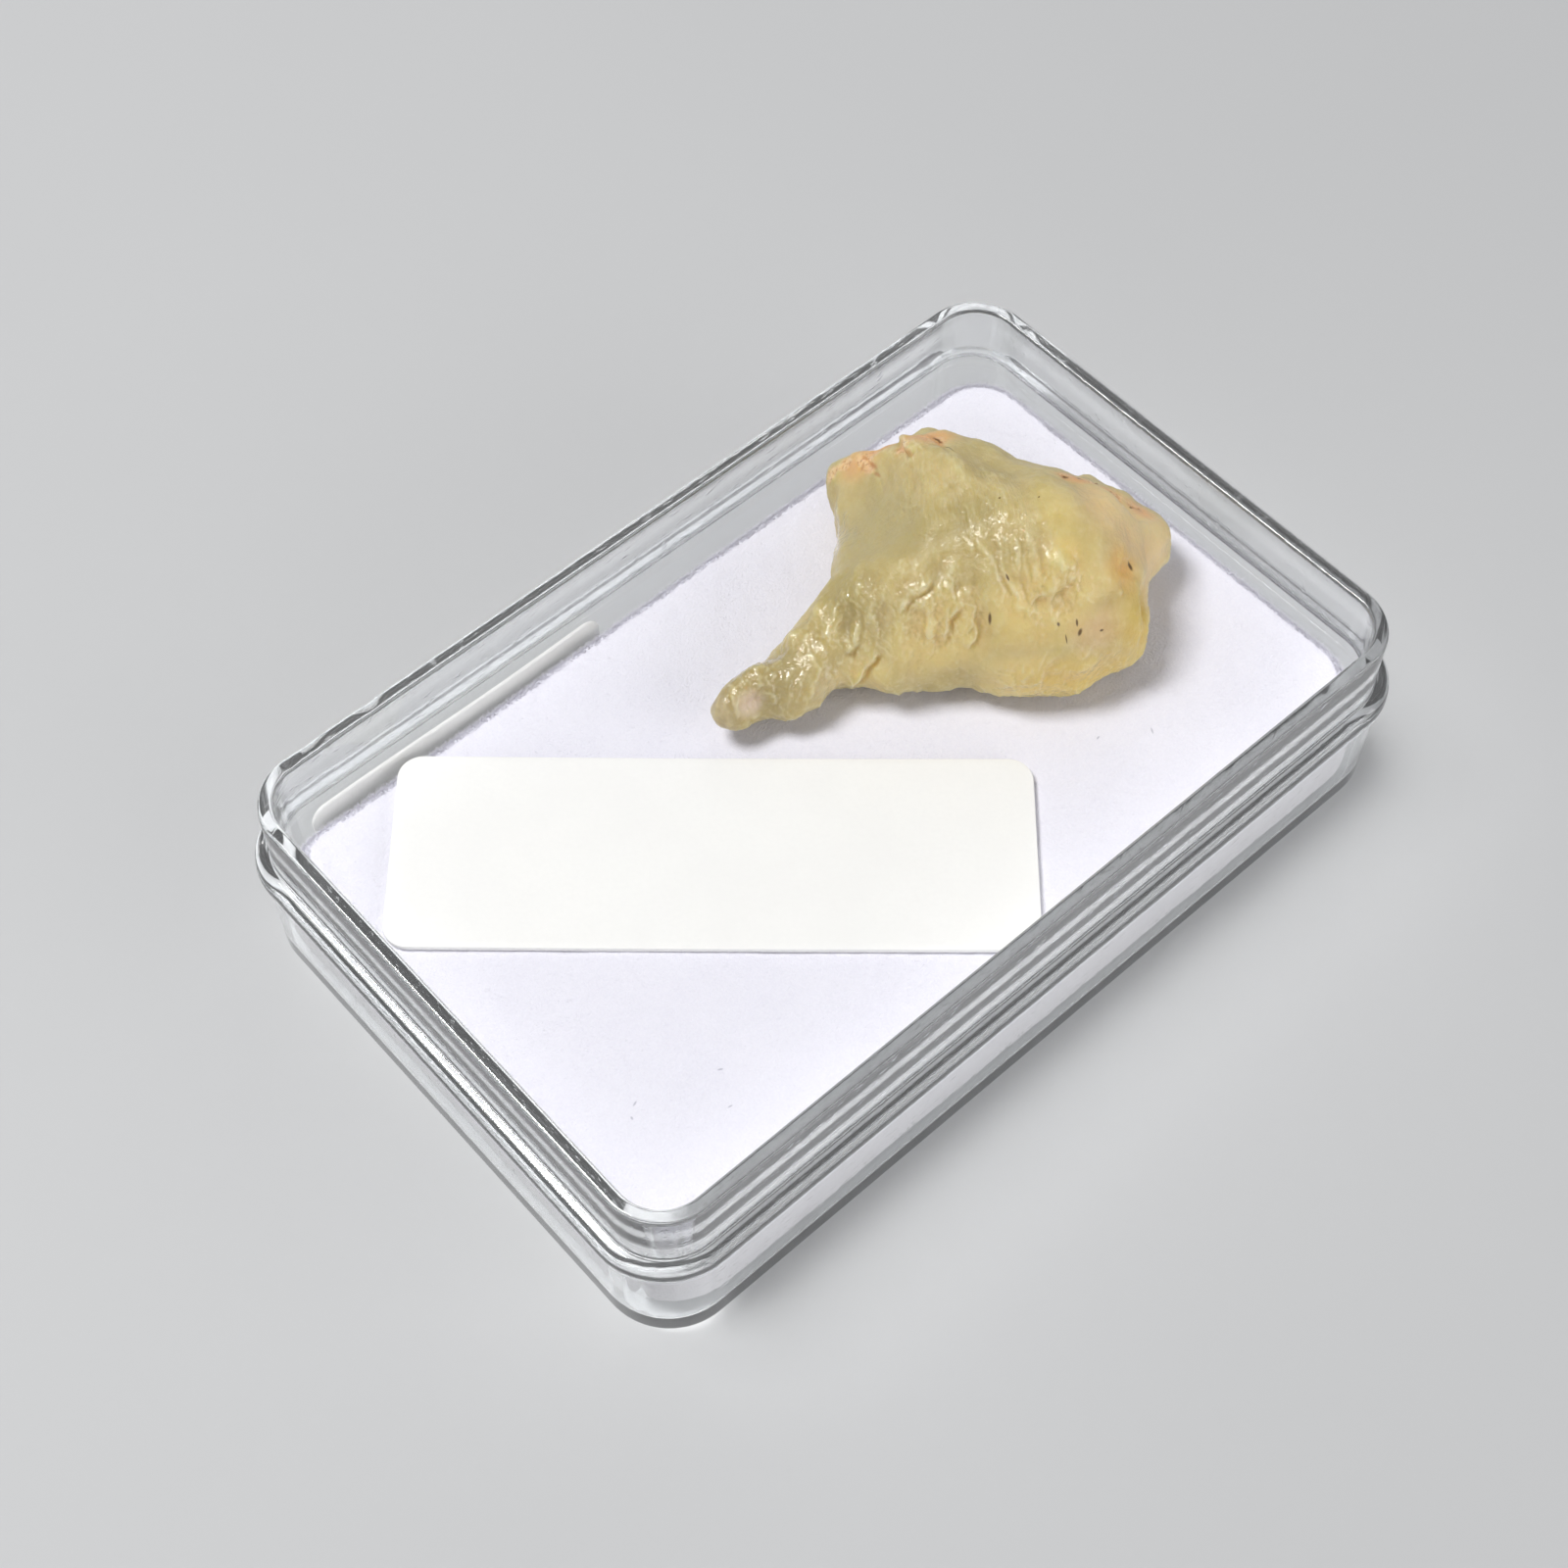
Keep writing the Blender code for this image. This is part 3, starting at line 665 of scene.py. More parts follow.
# Ledges of the upper face, along lines whose left side stands higher: points,
# height and how far back the higher side slopes
LEDGES = [
    ([(-3.3, -2.7, 5.9), (-2.9, -2.6, 6.3), (-2.4, -2.35, 6.7), (-2.1, -2.6, 6.9), (-1.5, -2.5, 7.1), (-0.9, -2.1, 7.3)], 0.26, 0.9),
    ([(-1.5, -4.2, 4.3), (-1.1, -4.05, 5.0), (-0.95, -3.85, 5.5), (-0.65, -3.85, 5.9), (-0.2, -3.7, 6.4)], 0.24, 0.7),
    ([(-0.55, -5.1, 4.2), (-0.3, -5.0, 4.6), (0.05, -4.9, 4.8), (0.15, -4.65, 5.2), (0.2, -4.2, 5.8)], 0.16, 0.6),
    ([(-1.95, -3.1, 6.4), (-1.95, -3.4, 5.8), (-2.15, -3.65, 5.1), (-2.2, -4.0, 4.4)], 0.16, 0.6),
    ([(-6.0, -2.05, 3.6), (-5.6, -2.15, 3.7), (-5.2, -2.1, 4.2), (-4.95, -1.8, 4.5), (-4.75, -1.4, 5.0)], 0.24, 0.45),
    ([(-6.1, -2.45, 1.6), (-5.55, -2.75, 1.8), (-5.2, -2.9, 2.6), (-4.7, -3.0, 3.6), (-4.2, -3.1, 3.9)], 0.28, 0.6),
    ([(1.9, 7.0, 6.3), (1.7, 6.1, 7.1), (1.4, 5.3, 7.7), (1.35, 4.6, 7.8)], 0.30, 1.3),
    ([(-11.9, -1.4, 3.0), (-12.0, -1.9, 2.8), (-12.1, -2.4, 2.0)], 0.12, 0.5),
    ([(-10.0, -2.6, 2.2), (-9.9, -2.0, 2.6), (-10.6, -1.6, 2.9)], 0.12, 0.5),
]

# Ridges, and grooves where the height is below 0: points, height and width
RIDGE_SHARE = 0.45
LEDGE_SHARE = 1.2
RIDGES = [
    ([(1.6, 3.1, 8.4), (0.8, 0.0, 8.6), (1.0, -2.3, 8.4), (0.8, -4.0, 7.0)], 0.09, 0.6),
    ([(2.1, 3.2, 8.6), (1.84, 2.26, 8.68), (1.2, 1.0, 8.6), (0.96, 0.3, 8.6)], 0.07, 0.16),
    ([(1.84, -0.88, 8.96), (1.35, -1.7, 8.7), (1.15, -2.41, 8.35), (1.2, -3.2, 8.1)], -0.12, 0.14),
    ([(3.1, 0.2, 9.1), (2.8, -1.0, 9.0), (2.6, -2.2, 8.9), (2.56, -3.2, 8.6)], 0.07, 0.14),
    ([(2.6, 0.6, 9.1), (2.3, -0.6, 9.0), (2.1, -1.8, 8.9)], -0.06, 0.13),
    ([(0.6, 6.0, 6.5), (0.9, 4.8, 7.4), (0.8, 3.4, 8.0)], -0.07, 0.2),
    ([(3.9, -2.4, 9.0), (3.53, -3.44, 8.95), (3.26, -4.22, 8.35)], 0.12, 0.15),
    ([(1.3, -1.9, 8.6), (1.55, -2.7, 8.4), (1.6, -3.3, 8.1), (1.6, -4.0, 7.5), (1.75, -4.5, 7.1)], 0.19, 0.15),
    ([(2.3, -2.1, 8.7), (2.3, -2.9, 8.4), (2.0, -3.7, 7.9), (2.1, -4.45, 7.4), (2.2, -5.0, 6.9), (2.0, -5.5, 6.4)], 0.23, 0.16),
    ([(1.95, -3.1, 8.3), (1.8, -3.8, 7.9), (1.85, -4.4, 7.3), (1.95, -4.9, 6.9)], -0.20, 0.12),
    ([(3.1, -2.6, 8.8), (2.95, -3.35, 8.6), (2.6, -4.0, 8.1), (2.45, -4.5, 7.5)], 0.20, 0.16),
    ([(2.62, -3.0, 8.7), (2.3, -3.9, 8.1), (2.35, -4.8, 7.2)], -0.15, 0.11),
    ([(3.25, -3.6, 8.5), (2.9, -4.4, 7.8), (2.8, -5.0, 7.1), (2.7, -5.5, 6.5)], 0.15, 0.14),
    ([(3.8, -3.2, 8.8), (3.6, -4.1, 8.4), (3.25, -4.7, 7.9), (3.05, -5.1, 7.3)], 0.17, 0.16),
    ([(3.5, -3.4, 8.7), (3.2, -4.3, 8.0), (3.0, -5.0, 7.3)], -0.13, 0.12),
    ([(4.3, -3.6, 8.8), (4.0, -4.5, 8.3), (3.75, -5.1, 7.8)], 0.13, 0.17),
    ([(6.0, -5.8, 7.5), (6.6, -6.1, 7.2), (7.2, -6.6, 6.3)], 0.14, 0.25),
    ([(9.6, -6.0, 4.7), (8.7, -5.9, 5.8), (7.8, -5.8, 6.8), (6.9, -5.6, 7.5)], -0.26, 0.28),
    ([(-4.6, -1.95, 4.9), (-4.3, -1.65, 5.5), (-4.15, -1.3, 6.0)], 0.16, 0.12),
    ([(-4.4, -0.3, 6.1), (-4.6, -0.75, 5.8)], 0.14, 0.11),
    ([(-5.0, -0.5, 5.2), (-5.1, -1.0, 4.5)], 0.14, 0.12),
    ([(-6.8, -1.7, 3.6), (-7.4, -2.2, 3.2), (-8.2, -2.8, 2.6), (-8.6, -3.0, 2.3)], 0.20, 0.22),
    ([(-1.35, 7.8, 3.3), (-1.8, 6.5, 3.2), (-2.2, 5.5, 3.0), (-3.0, 3.9, 3.7)], 0.16, 0.26),
    ([(-0.75, 7.6, 4.1), (-1.3, 6.2, 3.9), (-1.8, 5.0, 4.2), (-2.5, 3.6, 4.8)], -0.09, 0.24),
    ([(3.1, 6.1, 7.3), (3.1, 5.4, 7.7), (3.2, 4.8, 7.9), (2.9, 3.7, 8.6)], -0.24, 0.13),
    ([(0.25, 8.0, 5.1), (0.2, 6.9, 5.5), (0.1, 5.9, 5.7)], -0.16, 0.15),
    ([(1.5, 6.4, 6.9), (1.15, 5.4, 7.3), (1.0, 4.4, 7.6)], -0.13, 0.16),
    ([(4.6, 3.9, 8.3), (4.0, 2.6, 8.9), (3.6, 1.2, 9.2)], -0.07, 0.30),
    ([(2.3, 2.8, 8.7), (2.1, 1.0, 9.0), (2.3, -0.8, 9.0)], -0.08, 0.32),
    ([(3.2, 1.4, 9.2), (3.0, -0.4, 9.3), (3.0, -1.9, 9.0)], 0.08, 0.30),
    ([(1.5, -7.2, 2.6), (2.2, -7.2, 3.7)], 0.16, 0.17),
    ([(2.3, -7.4, 2.6), (2.8, -7.4, 3.5)], 0.14, 0.15),
    ([(2.9, -7.5, 3.1), (3.8, -7.8, 3.7)], 0.13, 0.16),
    ([(4.2, -8.0, 3.0), (4.95, -8.0, 3.6)], 0.13, 0.17),
    ([(2.9, -6.4, 5.4), (2.85, -6.8, 4.6)], 0.12, 0.16),
    ([(6.1, -7.9, 3.2), (6.6, -7.7, 4.1)], 0.12, 0.18),
]

# Lumps, and pits where the height is below 0: place, reach and height
LUMPS = [
    ((4.4, -4.85, 8.4), 0.55, 0.26), ((5.1, -5.1, 7.9), 0.24, 0.16), ((4.9, -5.5, 7.6), 0.26, 0.16),
    ((3.4, -5.35, 7.0), 0.26, 0.16), ((3.8, -5.55, 7.3), 0.22, 0.15), ((4.05, -5.85, 6.6), 0.20, 0.15),
    ((4.55, -5.8, 6.7), 0.22, 0.15), ((4.2, -6.1, 6.2), 0.22, 0.14), ((2.2, -5.4, 6.5), 0.28, 0.15),
    ((2.6, -5.65, 6.3), 0.26, 0.14), ((-0.6, -3.0, 7.0), 0.26, 0.16), ((0.1, -3.5, 6.9), 0.24, 0.15),
    ((-0.4, -3.55, 6.6), 0.26, 0.14), ((-4.2, -0.4, 6.1), 0.2, 0.12), ((-2.1, -0.8, 7.3), 0.2, 0.10),
    ((-5.35, -1.35, 4.4), 0.42, -0.06), ((-11.0, -2.1, 2.4), 0.75, -0.16), ((-12.7, -1.7, 2.5), 0.7, 0.08),
    ((9.9, -2.9, 6.3), 1.4, 0.10), ((6.6, -6.3, 6.9), 0.7, 0.10), ((7.6, -7.4, 4.5), 1.1, 0.10),
    ((-7.7, 0.3, 3.6), 0.4, 0.16), ((-6.2, 0.5, 4.4), 0.35, 0.14), ((-10.1, -0.9, 3.6), 0.4, 0.12),
    ((1.31, -6.12, 4.94), 0.3, 0.06), ((2.22, -6.38, 5.04), 0.34, 0.08), ((0.13, -6.05, 1.74), 0.3, 0.07),
    ((-4.48, -3.94, 1.92), 0.16, 0.1), ((-8.59, -2.98, 2.37), 0.18, 0.1), ((-8.2, -2.87, 2.58), 0.16, 0.1),
    ((-7.86, 0.25, 3.41), 0.15, 0.1), ((-7.2, -0.42, 3.76), 0.15, 0.1), ((-9.84, -1.17, 3.44), 0.15, 0.1),
    ((-9.72, -1.47, 3.4), 0.15, 0.1), ((-11.18, -2.5, 1.85), 0.17, 0.1), ((-4.91, 1.55, 4.51), 0.15, 0.1),
    ((-5.65, 0.98, 4.39), 0.16, 0.12), ((-4.14, -0.24, 6.16), 0.16, 0.12), ((7.23, -6.6, 6.31), 0.16, 0.12),
]


def to_stone_frame(points):
    """Points in the model's frame, taken to the stone's own."""
    x, y = points[:, 0] - STONE_CENTRE[0], points[:, 1] - STONE_CENTRE[1]
    along = x * math.cos(STONE_TURN) + y * math.sin(STONE_TURN)
    across = y * math.cos(STONE_TURN) - x * math.sin(STONE_TURN)
    return np.column_stack([along, across, points[:, 2] - STONE_LOW])


def from_stone_frame(place):
    """A place in the stone's own frame, taken to the model's, in millimetres."""
    along, across, height = place
    return (STONE_CENTRE[0] + along * math.cos(STONE_TURN) - across * math.sin(STONE_TURN),
            STONE_CENTRE[1] + along * math.sin(STONE_TURN) + across * math.cos(STONE_TURN),
            STONE_LOW + height)


def smooth_line(points, steps=5):
    """A smooth curve through points, as many short steps."""
    points = np.array(points, float)
    ends = np.vstack([2 * points[0] - points[1], points, 2 * points[-1] - points[-2]])
    line = []
    for a, b, c, d in zip(ends, ends[1:], ends[2:], ends[3:]):
        for share in np.linspace(0, 1, steps, endpoint=False):
            line.append(0.5 * (2 * b + (c - a) * share + (2 * a - 5 * b + 4 * c - d) * share ** 2
                               + (3 * b - a - 3 * c + d) * share ** 3))
    return np.array(line + [points[-1]])


def beside_line(points, normals, line, reach):
    """For points near a line over the surface: which they are, how far off it and to
    which side, from left (above 0) to right, and how far along it, from 0 to 1."""
    line = smooth_line(line)
    near = np.all((points > line.min(axis=0) - reach) & (points < line.max(axis=0) + reach), axis=1)
    chosen = np.nonzero(near)[0]
    points, normals = points[chosen], normals[chosen]
    distance = np.full(len(chosen), np.inf)
    aside, share = np.zeros(len(chosen)), np.zeros(len(chosen))
    for number, (start, end) in enumerate(zip(line, line[1:])):
        step = end - start
        along = np.clip((points - start) @ step / (step @ step), 0.0, 1.0)
        offset = points - start - along[:, None] * step
        lift = (offset * normals).sum(axis=1)
        flat = offset - lift[:, None] * normals
        away = np.sqrt((flat ** 2).sum(axis=1) + np.maximum(np.abs(lift) - 0.7, 0.0) ** 2)
        nearer = away < distance
        distance = np.where(nearer, away, distance)
        left = np.sign((np.cross(normals, step) * flat).sum(axis=1))
        aside = np.where(nearer, left * away, aside)
        share = np.where(nearer, (number + along) / (len(line) - 1), share)
    return chosen, aside, share


def fade_at_ends(share):
    return smooth_step(0.0, 0.22, share) * smooth_step(1.0, 0.78, share)


def sculpted(points, normals):
    """Height of the listed ledges, ridges and lumps."""
    height = np.zeros(len(points))
    drop = 0.075
    for line, rise, slope in LEDGES:
        chosen, aside, share = beside_line(points, normals, line, 3 * slope)
        higher = smooth_step(-drop, drop, aside) * np.exp(-np.maximum(aside, 0.0) / slope * 1.6)
        lower = -0.35 * np.exp(-((aside + 2 * drop) / (2.2 * drop)) ** 2)
        height[chosen] += LEDGE_SHARE * rise * fade_at_ends(share) * (higher + lower)
    for line, rise, width in RIDGES:
        chosen, aside, share = beside_line(points, normals, line, 3 * width)
        height[chosen] += RIDGE_SHARE * rise * fade_at_ends(share) * np.exp(-(aside / width) ** 2)
    for place, reach, rise in LUMPS:
        height += rise * np.exp(-((points - place) ** 2).sum(axis=1) / reach ** 2)
    return height


def near_place(points, patches, soft=0.45):
    """A mask from 0 to 1 over soft-edged round patches: place and reach."""
    mask = np.zeros(len(points))
    for place, reach in patches:
        away = np.linalg.norm((points - place) / reach, axis=1)
        mask = np.maximum(mask, smooth_step(1 + soft, 1 - soft, away))
    return mask


# Zones of the surface: place, and reach along, across and up
SMOOTH_ZONE = [((-1.6, 3.4, 5.5), (2.4, 3.8, 3.0)), ((3.4, 1.6, 9.0), (2.4, 4.4, 2.0)), ((9.0, -2.6, 7.0), (3.4, 3.0, 3.0))]
DRAPED_ZONE = [((2.4, -3.1, 8.2), (1.6, 2.2, 2.0)), ((3.5, -4.3, 7.6), (1.5, 1.6, 2.0))]
FAN_ZONE = [((0.8, 3.2, 8.0), (1.6, 3.0, 2.2)), ((3.0, 0.6, 9.2), (2.2, 3.0, 1.6))]
ROUGH_ZONE = [((-1.4, -3.3, 5.9), (2.6, 1.9, 2.4)), ((-4.7, -1.5, 4.6), (2.2, 2.0, 2.6)),
              ((4.0, -5.6, 6.6), (1.5, 1.2, 1.6))]
TAIL_ZONE = [((-8.4, -1.2, 3.0), (3.6, 1.9, 2.4))]
TAIL_ROUGHNESS = 0.6
BAND_ZONE = [((3.0, -7.5, 3.0), (4.4, 1.4, 1.6)), ((-2.6, -4.6, 3.2), (2.6, 1.2, 1.5))]

# Layers of natural relief: size and height
SWELLS = [(2.4, 0.15), (1.0, 0.08)]
SCALLOP_LAYERS = [(1.3, 0.20), (0.62, 0.11), (0.36, 0.055)]
GRAIN = (0.3, 0.016)

# How far a full crest stands over its neighbours' middle, which sets the painted highlight on crests and the painted
# shade in creases
CREST = 0.012


def scallops(points, size, height, seed):
    """Chips that overlap like shingles, hollow in the middle and crisp at their edges."""
    tilt = Vector((0.75, -0.45, 0.3))
    values = np.empty(len(points))
    for number, point in enumerate(points):
        place = Vector(point) / size
        warped = place + noise.noise_vector(place * 0.8) * 0.45 + Vector((seed, 0.0, 0.0))
        distances, centres = noise.voronoi(warped)
        strength = 0.65 + 0.7 * noise.noise(centres[0] * 1.7)
        values[number] = (min(distances[0], 1.0) ** 2 * 0.7 + (warped - centres[0]).dot(tilt) * 0.7) * strength
    return (values - 0.2) * height


def folds(points, width, length, height, turn, seed):
    """Long soft ridges that run along one direction of the plan."""
    turn = math.radians(turn)
    along = points[:, 0] * math.cos(turn) + points[:, 1] * math.sin(turn)
    across = points[:, 1] * math.cos(turn) - points[:, 0] * math.sin(turn)
    values = np.empty(len(points))
    for number, (u, v, w) in enumerate(zip(along, across, points[:, 2])):
        sway = noise.noise(Vector((u * 0.6, v * 0.6, seed))) * 0.5
        values[number] = noise.noise(Vector((u / length, (v + sway) / width, w / length + seed)))
    return (0.5 - np.abs(values) * 1.6) * height


def stone_relief(points, normals):
    """Height of the relief over the model's surface, in millimetres."""
    upward = smooth_step(-0.1, 0.5, normals[:, 2])
    smooth = near_place(points, SMOOTH_ZONE) * upward
    draped = np.maximum(near_place(points, DRAPED_ZONE), 0.8 * near_place(points, FAN_ZONE)) * upward
    rough = np.maximum(near_place(points, ROUGH_ZONE), TAIL_ROUGHNESS * near_place(points, TAIL_ZONE)) * upward
    band = near_place(points, BAND_ZONE) * upward
    size, reach = WARP
    warp = np.column_stack([noise_at(points, size, shift) for shift in (11.0, 23.0, 31.0)]) * reach
    relief = np.zeros(len(points))
    for number, (size, height) in enumerate(SWELLS):
        relief += noise_at(points, size, 6.0 + 8.0 * number) * height * (1 - 0.5 * smooth)
    scalloped = np.clip(0.12 + 0.88 * rough + 0.5 * (1 - upward) - 0.1 * smooth, 0.0, 1.0)
    for number, (size, height) in enumerate(SCALLOP_LAYERS):
        relief += scalloped * scallops(points, size, height, seed=3.7 * number)
    relief += (0.3 + 0.7 * draped) * folds(points + 2 * warp, 0.5, 3.0, 0.07, turn=86, seed=1.3)
    relief += (0.3 + 0.7 * rough) * folds(points + 2 * warp, 0.3, 1.3, 0.045, turn=72, seed=5.5)
    relief += band * folds(points + warp, 0.45, 1.5, 0.10, turn=22, seed=4.4)
    relief += noise_at(points, GRAIN[0], 2.0) * GRAIN[1] * (0.5 + rough)
    return relief + sculpted(points + warp, normals)


def curvature(mesh, points, passes=1):
    """How far each point stands over the middle of its neighbours, in millimetres,
    spread a little over the surface round it."""
    edges = np.empty(len(mesh.edges) * 2, int)
    mesh.edges.foreach_get("vertices", edges)
    first, second = edges.reshape(-1, 2).T
    count = np.bincount(edges, minlength=len(points))

    def neighbours(values):
        total = np.zeros_like(values)
        np.add.at(total, first, values[second])
        np.add.at(total, second, values[first])
        return (total.T / count).T

    height = ((points - neighbours(points)) * read_normals(mesh)).sum(axis=1)
    for _ in range(passes):
        height = (height + neighbours(height)) / 2
    return height


def stone_mesh():
    mesh = refined("desert_glass", STONE_VOXEL, STONE_SMOOTHING)
    points = read_points(mesh)
    normals = read_normals(mesh)
    local = to_stone_frame(points)
    turn = np.array([[math.cos(STONE_TURN), math.sin(STONE_TURN), 0.0],
                     [-math.sin(STONE_TURN), math.cos(STONE_TURN), 0.0], [0.0, 0.0, 1.0]])
    relief = stone_relief(local, normals @ turn.T)
    moved = np.zeros_like(points)
    for place, reach, move in MOVES:
        near = np.exp(-((local - place) ** 2).sum(axis=1) / reach ** 2)
        moved += near[:, None] * np.array(move)
    local += moved
    crust = crust_mask(local)
    relief += crust * (np.abs(noise_at(local, 0.26, 7.0)) * 0.14 - 0.03)
    points += normals * relief[:, None] + moved @ turn
    write_points(mesh, points)
    mesh.name = "stone_glass"
    curved = curvature(mesh, points)
    # Painted highlight on crests and painted shade in creases, from how far each point stands over or under its
    # neighbours
    store(mesh, "crest_highlight", smooth_step(0.1, 1.0, curved / CREST))
    store(mesh, "crease_shade", smooth_step(0.1, 1.0, -curved / CREST))
    store(mesh, "crust", crust)
    store(mesh, "stain", in_spots(local, STAINS))
    for name, patches, soft in COLOUR_ZONES:
        store(mesh, name, near_place(local, patches, soft))
    return mesh


def store(mesh, name, values):
    attribute = mesh.attributes.new(name, "FLOAT", "POINT")
    attribute.data.foreach_set("value", values.astype(np.float32))


# Desert glass: its colours

# Peach crust in patches along the far edge, and a thin line of it over the thick end
CRUST_PATCHES = [((0.3, 7.4, 5.4), (0.65, 1.0, 0.7)), ((1.55, 5.8, 7.3), (0.35, 0.8, 0.8)), ((3.2, 5.4, 7.5), (0.55, 0.6, 0.5)),
                 ((-1.0, 8.9, 3.2), (0.5, 0.5, 0.6)), ((-0.4, 8.5, 4.1), (0.4, 0.4, 0.5)), ((7.8, 0.2, 7.7), (0.8, 0.25, 0.35)),
                 ((9.4, -0.3, 6.9), (1.0, 0.25, 0.5)), ((10.7, -0.3, 5.3), (0.7, 0.4, 0.8)), ((11.7, -1.0, 4.5), (0.5, 0.5, 0.7))]
COLOUR_ZONES = [
    ("grey", [((-1.8, 2.6, 5.4), (2.2, 3.4, 3.4))], 0.6),
    # Painted shade: darker patches over the left flank and the middle of the top, in the body's own hue
    ("painted_shade", [((-4.6, 0.2, 5.4), (1.7, 1.6, 2.0)), ((-0.4, 0.0, 7.8), (2.6, 1.3, 1.6)), ((1.8, -0.8, 8.8), (1.5, 1.0, 1.2))], 0.8),
    ("fan", [((0.6, 3.2, 7.8), (1.9, 3.4, 2.4)), ((2.9, 0.6, 9.2), (2.4, 3.4, 1.6))], 0.5),
    ("blush", [((5.6, -7.2, 5.0), (1.1, 0.8, 1.0))], 0.9),
    ("tail", [((-11.2, -1.6, 2.6), (3.6, 2.2, 3.0))], 0.5),
    ("yellow", [((8.4, -7.2, 3.8), (1.8, 1.6, 2.6)), ((4.6, -7.8, 2.2), (3.6, 1.2, 1.4))], 0.9),
    ("gold", [((5.4, -3.0, 8.6), (0.8, 2.2, 1.5))], 0.9),
    ("facet", [((-11.3, -1.8, 2.3), (0.8, 0.6, 0.8))], 0.5),
    ("tip", [((-13.0, -1.7, 1.8), (0.9, 1.3, 1.8))], 0.5),
    ("pink", [((9.8, -3.0, 6.4), (2.6, 2.4, 3.0)), ((11.4, -3.4, 4.6), (2.0, 2.4, 2.8))], 0.9),
    ("orange", [((7.9, -5.7, 6.8), (1.1, 0.9, 1.1))], 0.8),
    ("peach", [((0.6, 8.1, 5.2), (1.9, 1.25, 1.5)), ((2.9, 5.9, 7.3), (1.5, 1.0, 1.1)), ((8.4, 0.1, 7.4), (1.6, 0.5, 0.7)),
               ((10.3, -0.2, 5.7), (1.3, 0.7, 1.2)), ((11.9, -1.2, 4.4), (0.7, 0.8, 1.0))], 0.6),
    # A paler tone over the lumps, the rough middle and the lower band, made brighter still as painted light for the
    # light that comes through the stone
    ("pale_and_glow", [((3.6, -5.6, 6.4), (3.2, 1.8, 2.6)), ((2.0, -7.2, 2.6), (3.6, 1.6, 1.8)), ((-1.4, -4.2, 5.0), (2.6, 1.6, 2.4)),
              ((5.0, -4.6, 7.9), (0.9, 0.8, 1.2)), ((-5.2, -3.2, 2.5), (1.5, 0.9, 1.3))], 0.6),
    ("gloss", [((2.4, -3.4, 8.0), (2.2, 2.4, 2.2)), ((-2.6, 5.6, 3.4), (1.0, 3.0, 1.6)), ((4.2, -5.4, 7.2), (2.0, 1.6, 2.2)), ((-1.4, -3.3, 5.9), (2.6, 1.9, 2.4)),
               ((-4.7, -1.5, 4.6), (2.2, 2.0, 2.6)), ((-8.4, -1.2, 3.0), (3.6, 1.9, 2.4)), ((3.0, -7.5, 3.0), (4.4, 1.4, 1.8))], 0.5),
]

# Each zone's share of its own colour
ZONE_TINTS = [
    # Painted shade over the left flank and the middle of the top
    ("painted_shade", 0.8, (0.50, 0.41, 0.165)),
    # Paler tone lifted by painted light over the lumps, the rough middle and the lower band
    ("pale_and_glow", 0.9, (0.89, 0.70, 0.295)),
    ("grey", 0.85, (0.59, 0.50, 0.255)),
    ("tail", 0.85, (0.45, 0.365, 0.17)),
    ("facet", 0.8, (0.84, 0.70, 0.57)),
    ("tip", 0.8, (0.49, 0.41, 0.27)),
    ("yellow", 0.85, (0.82, 0.575, 0.125)),
    ("blush", 0.5, (1.0, 0.70, 0.42)),
    ("gold", 0.3, (0.90, 0.72, 0.22)),
    ("pink", 1.0, (1.0, 0.72, 0.39)),
    ("orange", 0.85, (0.93, 0.58, 0.18)),
    ("peach", 0.95, (0.92, 0.53, 0.235)),
]

# Dark specks: place in the stone's frame, reach along each axis and turn in degrees
SPECKS = [((0.71, -4.93, 6.0), (0.28, 0.10, 0.6), 72), ((3.73, -6.59, 5.7), (0.11, 0.09, 0.5), -30),
          ((4.68, -7.2, 5.2), (0.18, 0.11, 0.5), 20), ((3.95, -7.14, 5.0), (0.24, 0.05, 0.5), 85),
          ((4.62, -6.91, 5.7), (0.16, 0.08, 0.5), 80), ((3.37, -0.68, 9.36), (0.09, 0.07, 0.5), 0),
          ((5.15, -1.51, 9.38), (0.09, 0.06, 0.5), 20), ((2.03, -4.13, 7.68), (0.22, 0.08, 0.5), 95),
          ((8.53, -5.4, 6.25), (0.30, 0.15, 0.5), 100), ((3.23, 5.35, 7.5), (0.55, 0.10, 0.8), 95),
          ((3.24, 4.1, 8.0), (0.7, 0.04, 0.8), 92), ((7.74, 0.06, 7.8), (0.26, 0.12, 0.6), 5),
          ((8.66, 0.12, 7.15), (0.16, 0.10, 0.6), -10), ((9.4, -0.4, 6.9), (0.55, 0.05, 0.8), -20),
          ((10.4, -0.35, 5.7), (0.5, 0.05, 0.9), -15), ((11.31, -1.14, 4.76), (0.16, 0.10, 0.6), 20),
          ((5.83, -7.43, 4.94), (0.15, 0.04, 0.5), 0)]


# Fine parallel scratches of the grey face, and streaks that fan down from the far
# edge: their turns in the stone's plan
STRIAE_TURN = math.radians(92)
FAN_TURN = math.radians(70)

# Brown stains in the crust: as the specks
STAINS = [((0.3, 7.6, 5.2), (0.5, 0.10, 0.5), 95), ((0.24, 6.7, 5.6), (0.5, 0.09, 0.5), 95),
          ((0.13, 6.0, 5.75), (0.35, 0.08, 0.5), 100), ((-0.1, 7.2, 5.3), (0.3, 0.12, 0.5), 40),
          ((1.4, 5.0, 7.9), (0.45, 0.13, 0.7), 95), ((3.2, 5.4, 7.4), (0.85, 0.20, 0.8), 95),
          ((7.74, 0.06, 7.8), (0.40, 0.18, 0.5), 5), ((8.66, 0.1, 7.15), (0.28, 0.15, 0.5), -10),
          ((9.5, -0.4, 6.8), (0.8, 0.09, 0.9), -20), ((10.6, -0.3, 5.5), (0.7, 0.09, 0.9), -15),
          ((11.6, -1.1, 4.6), (0.5, 0.12, 0.7), -25)]


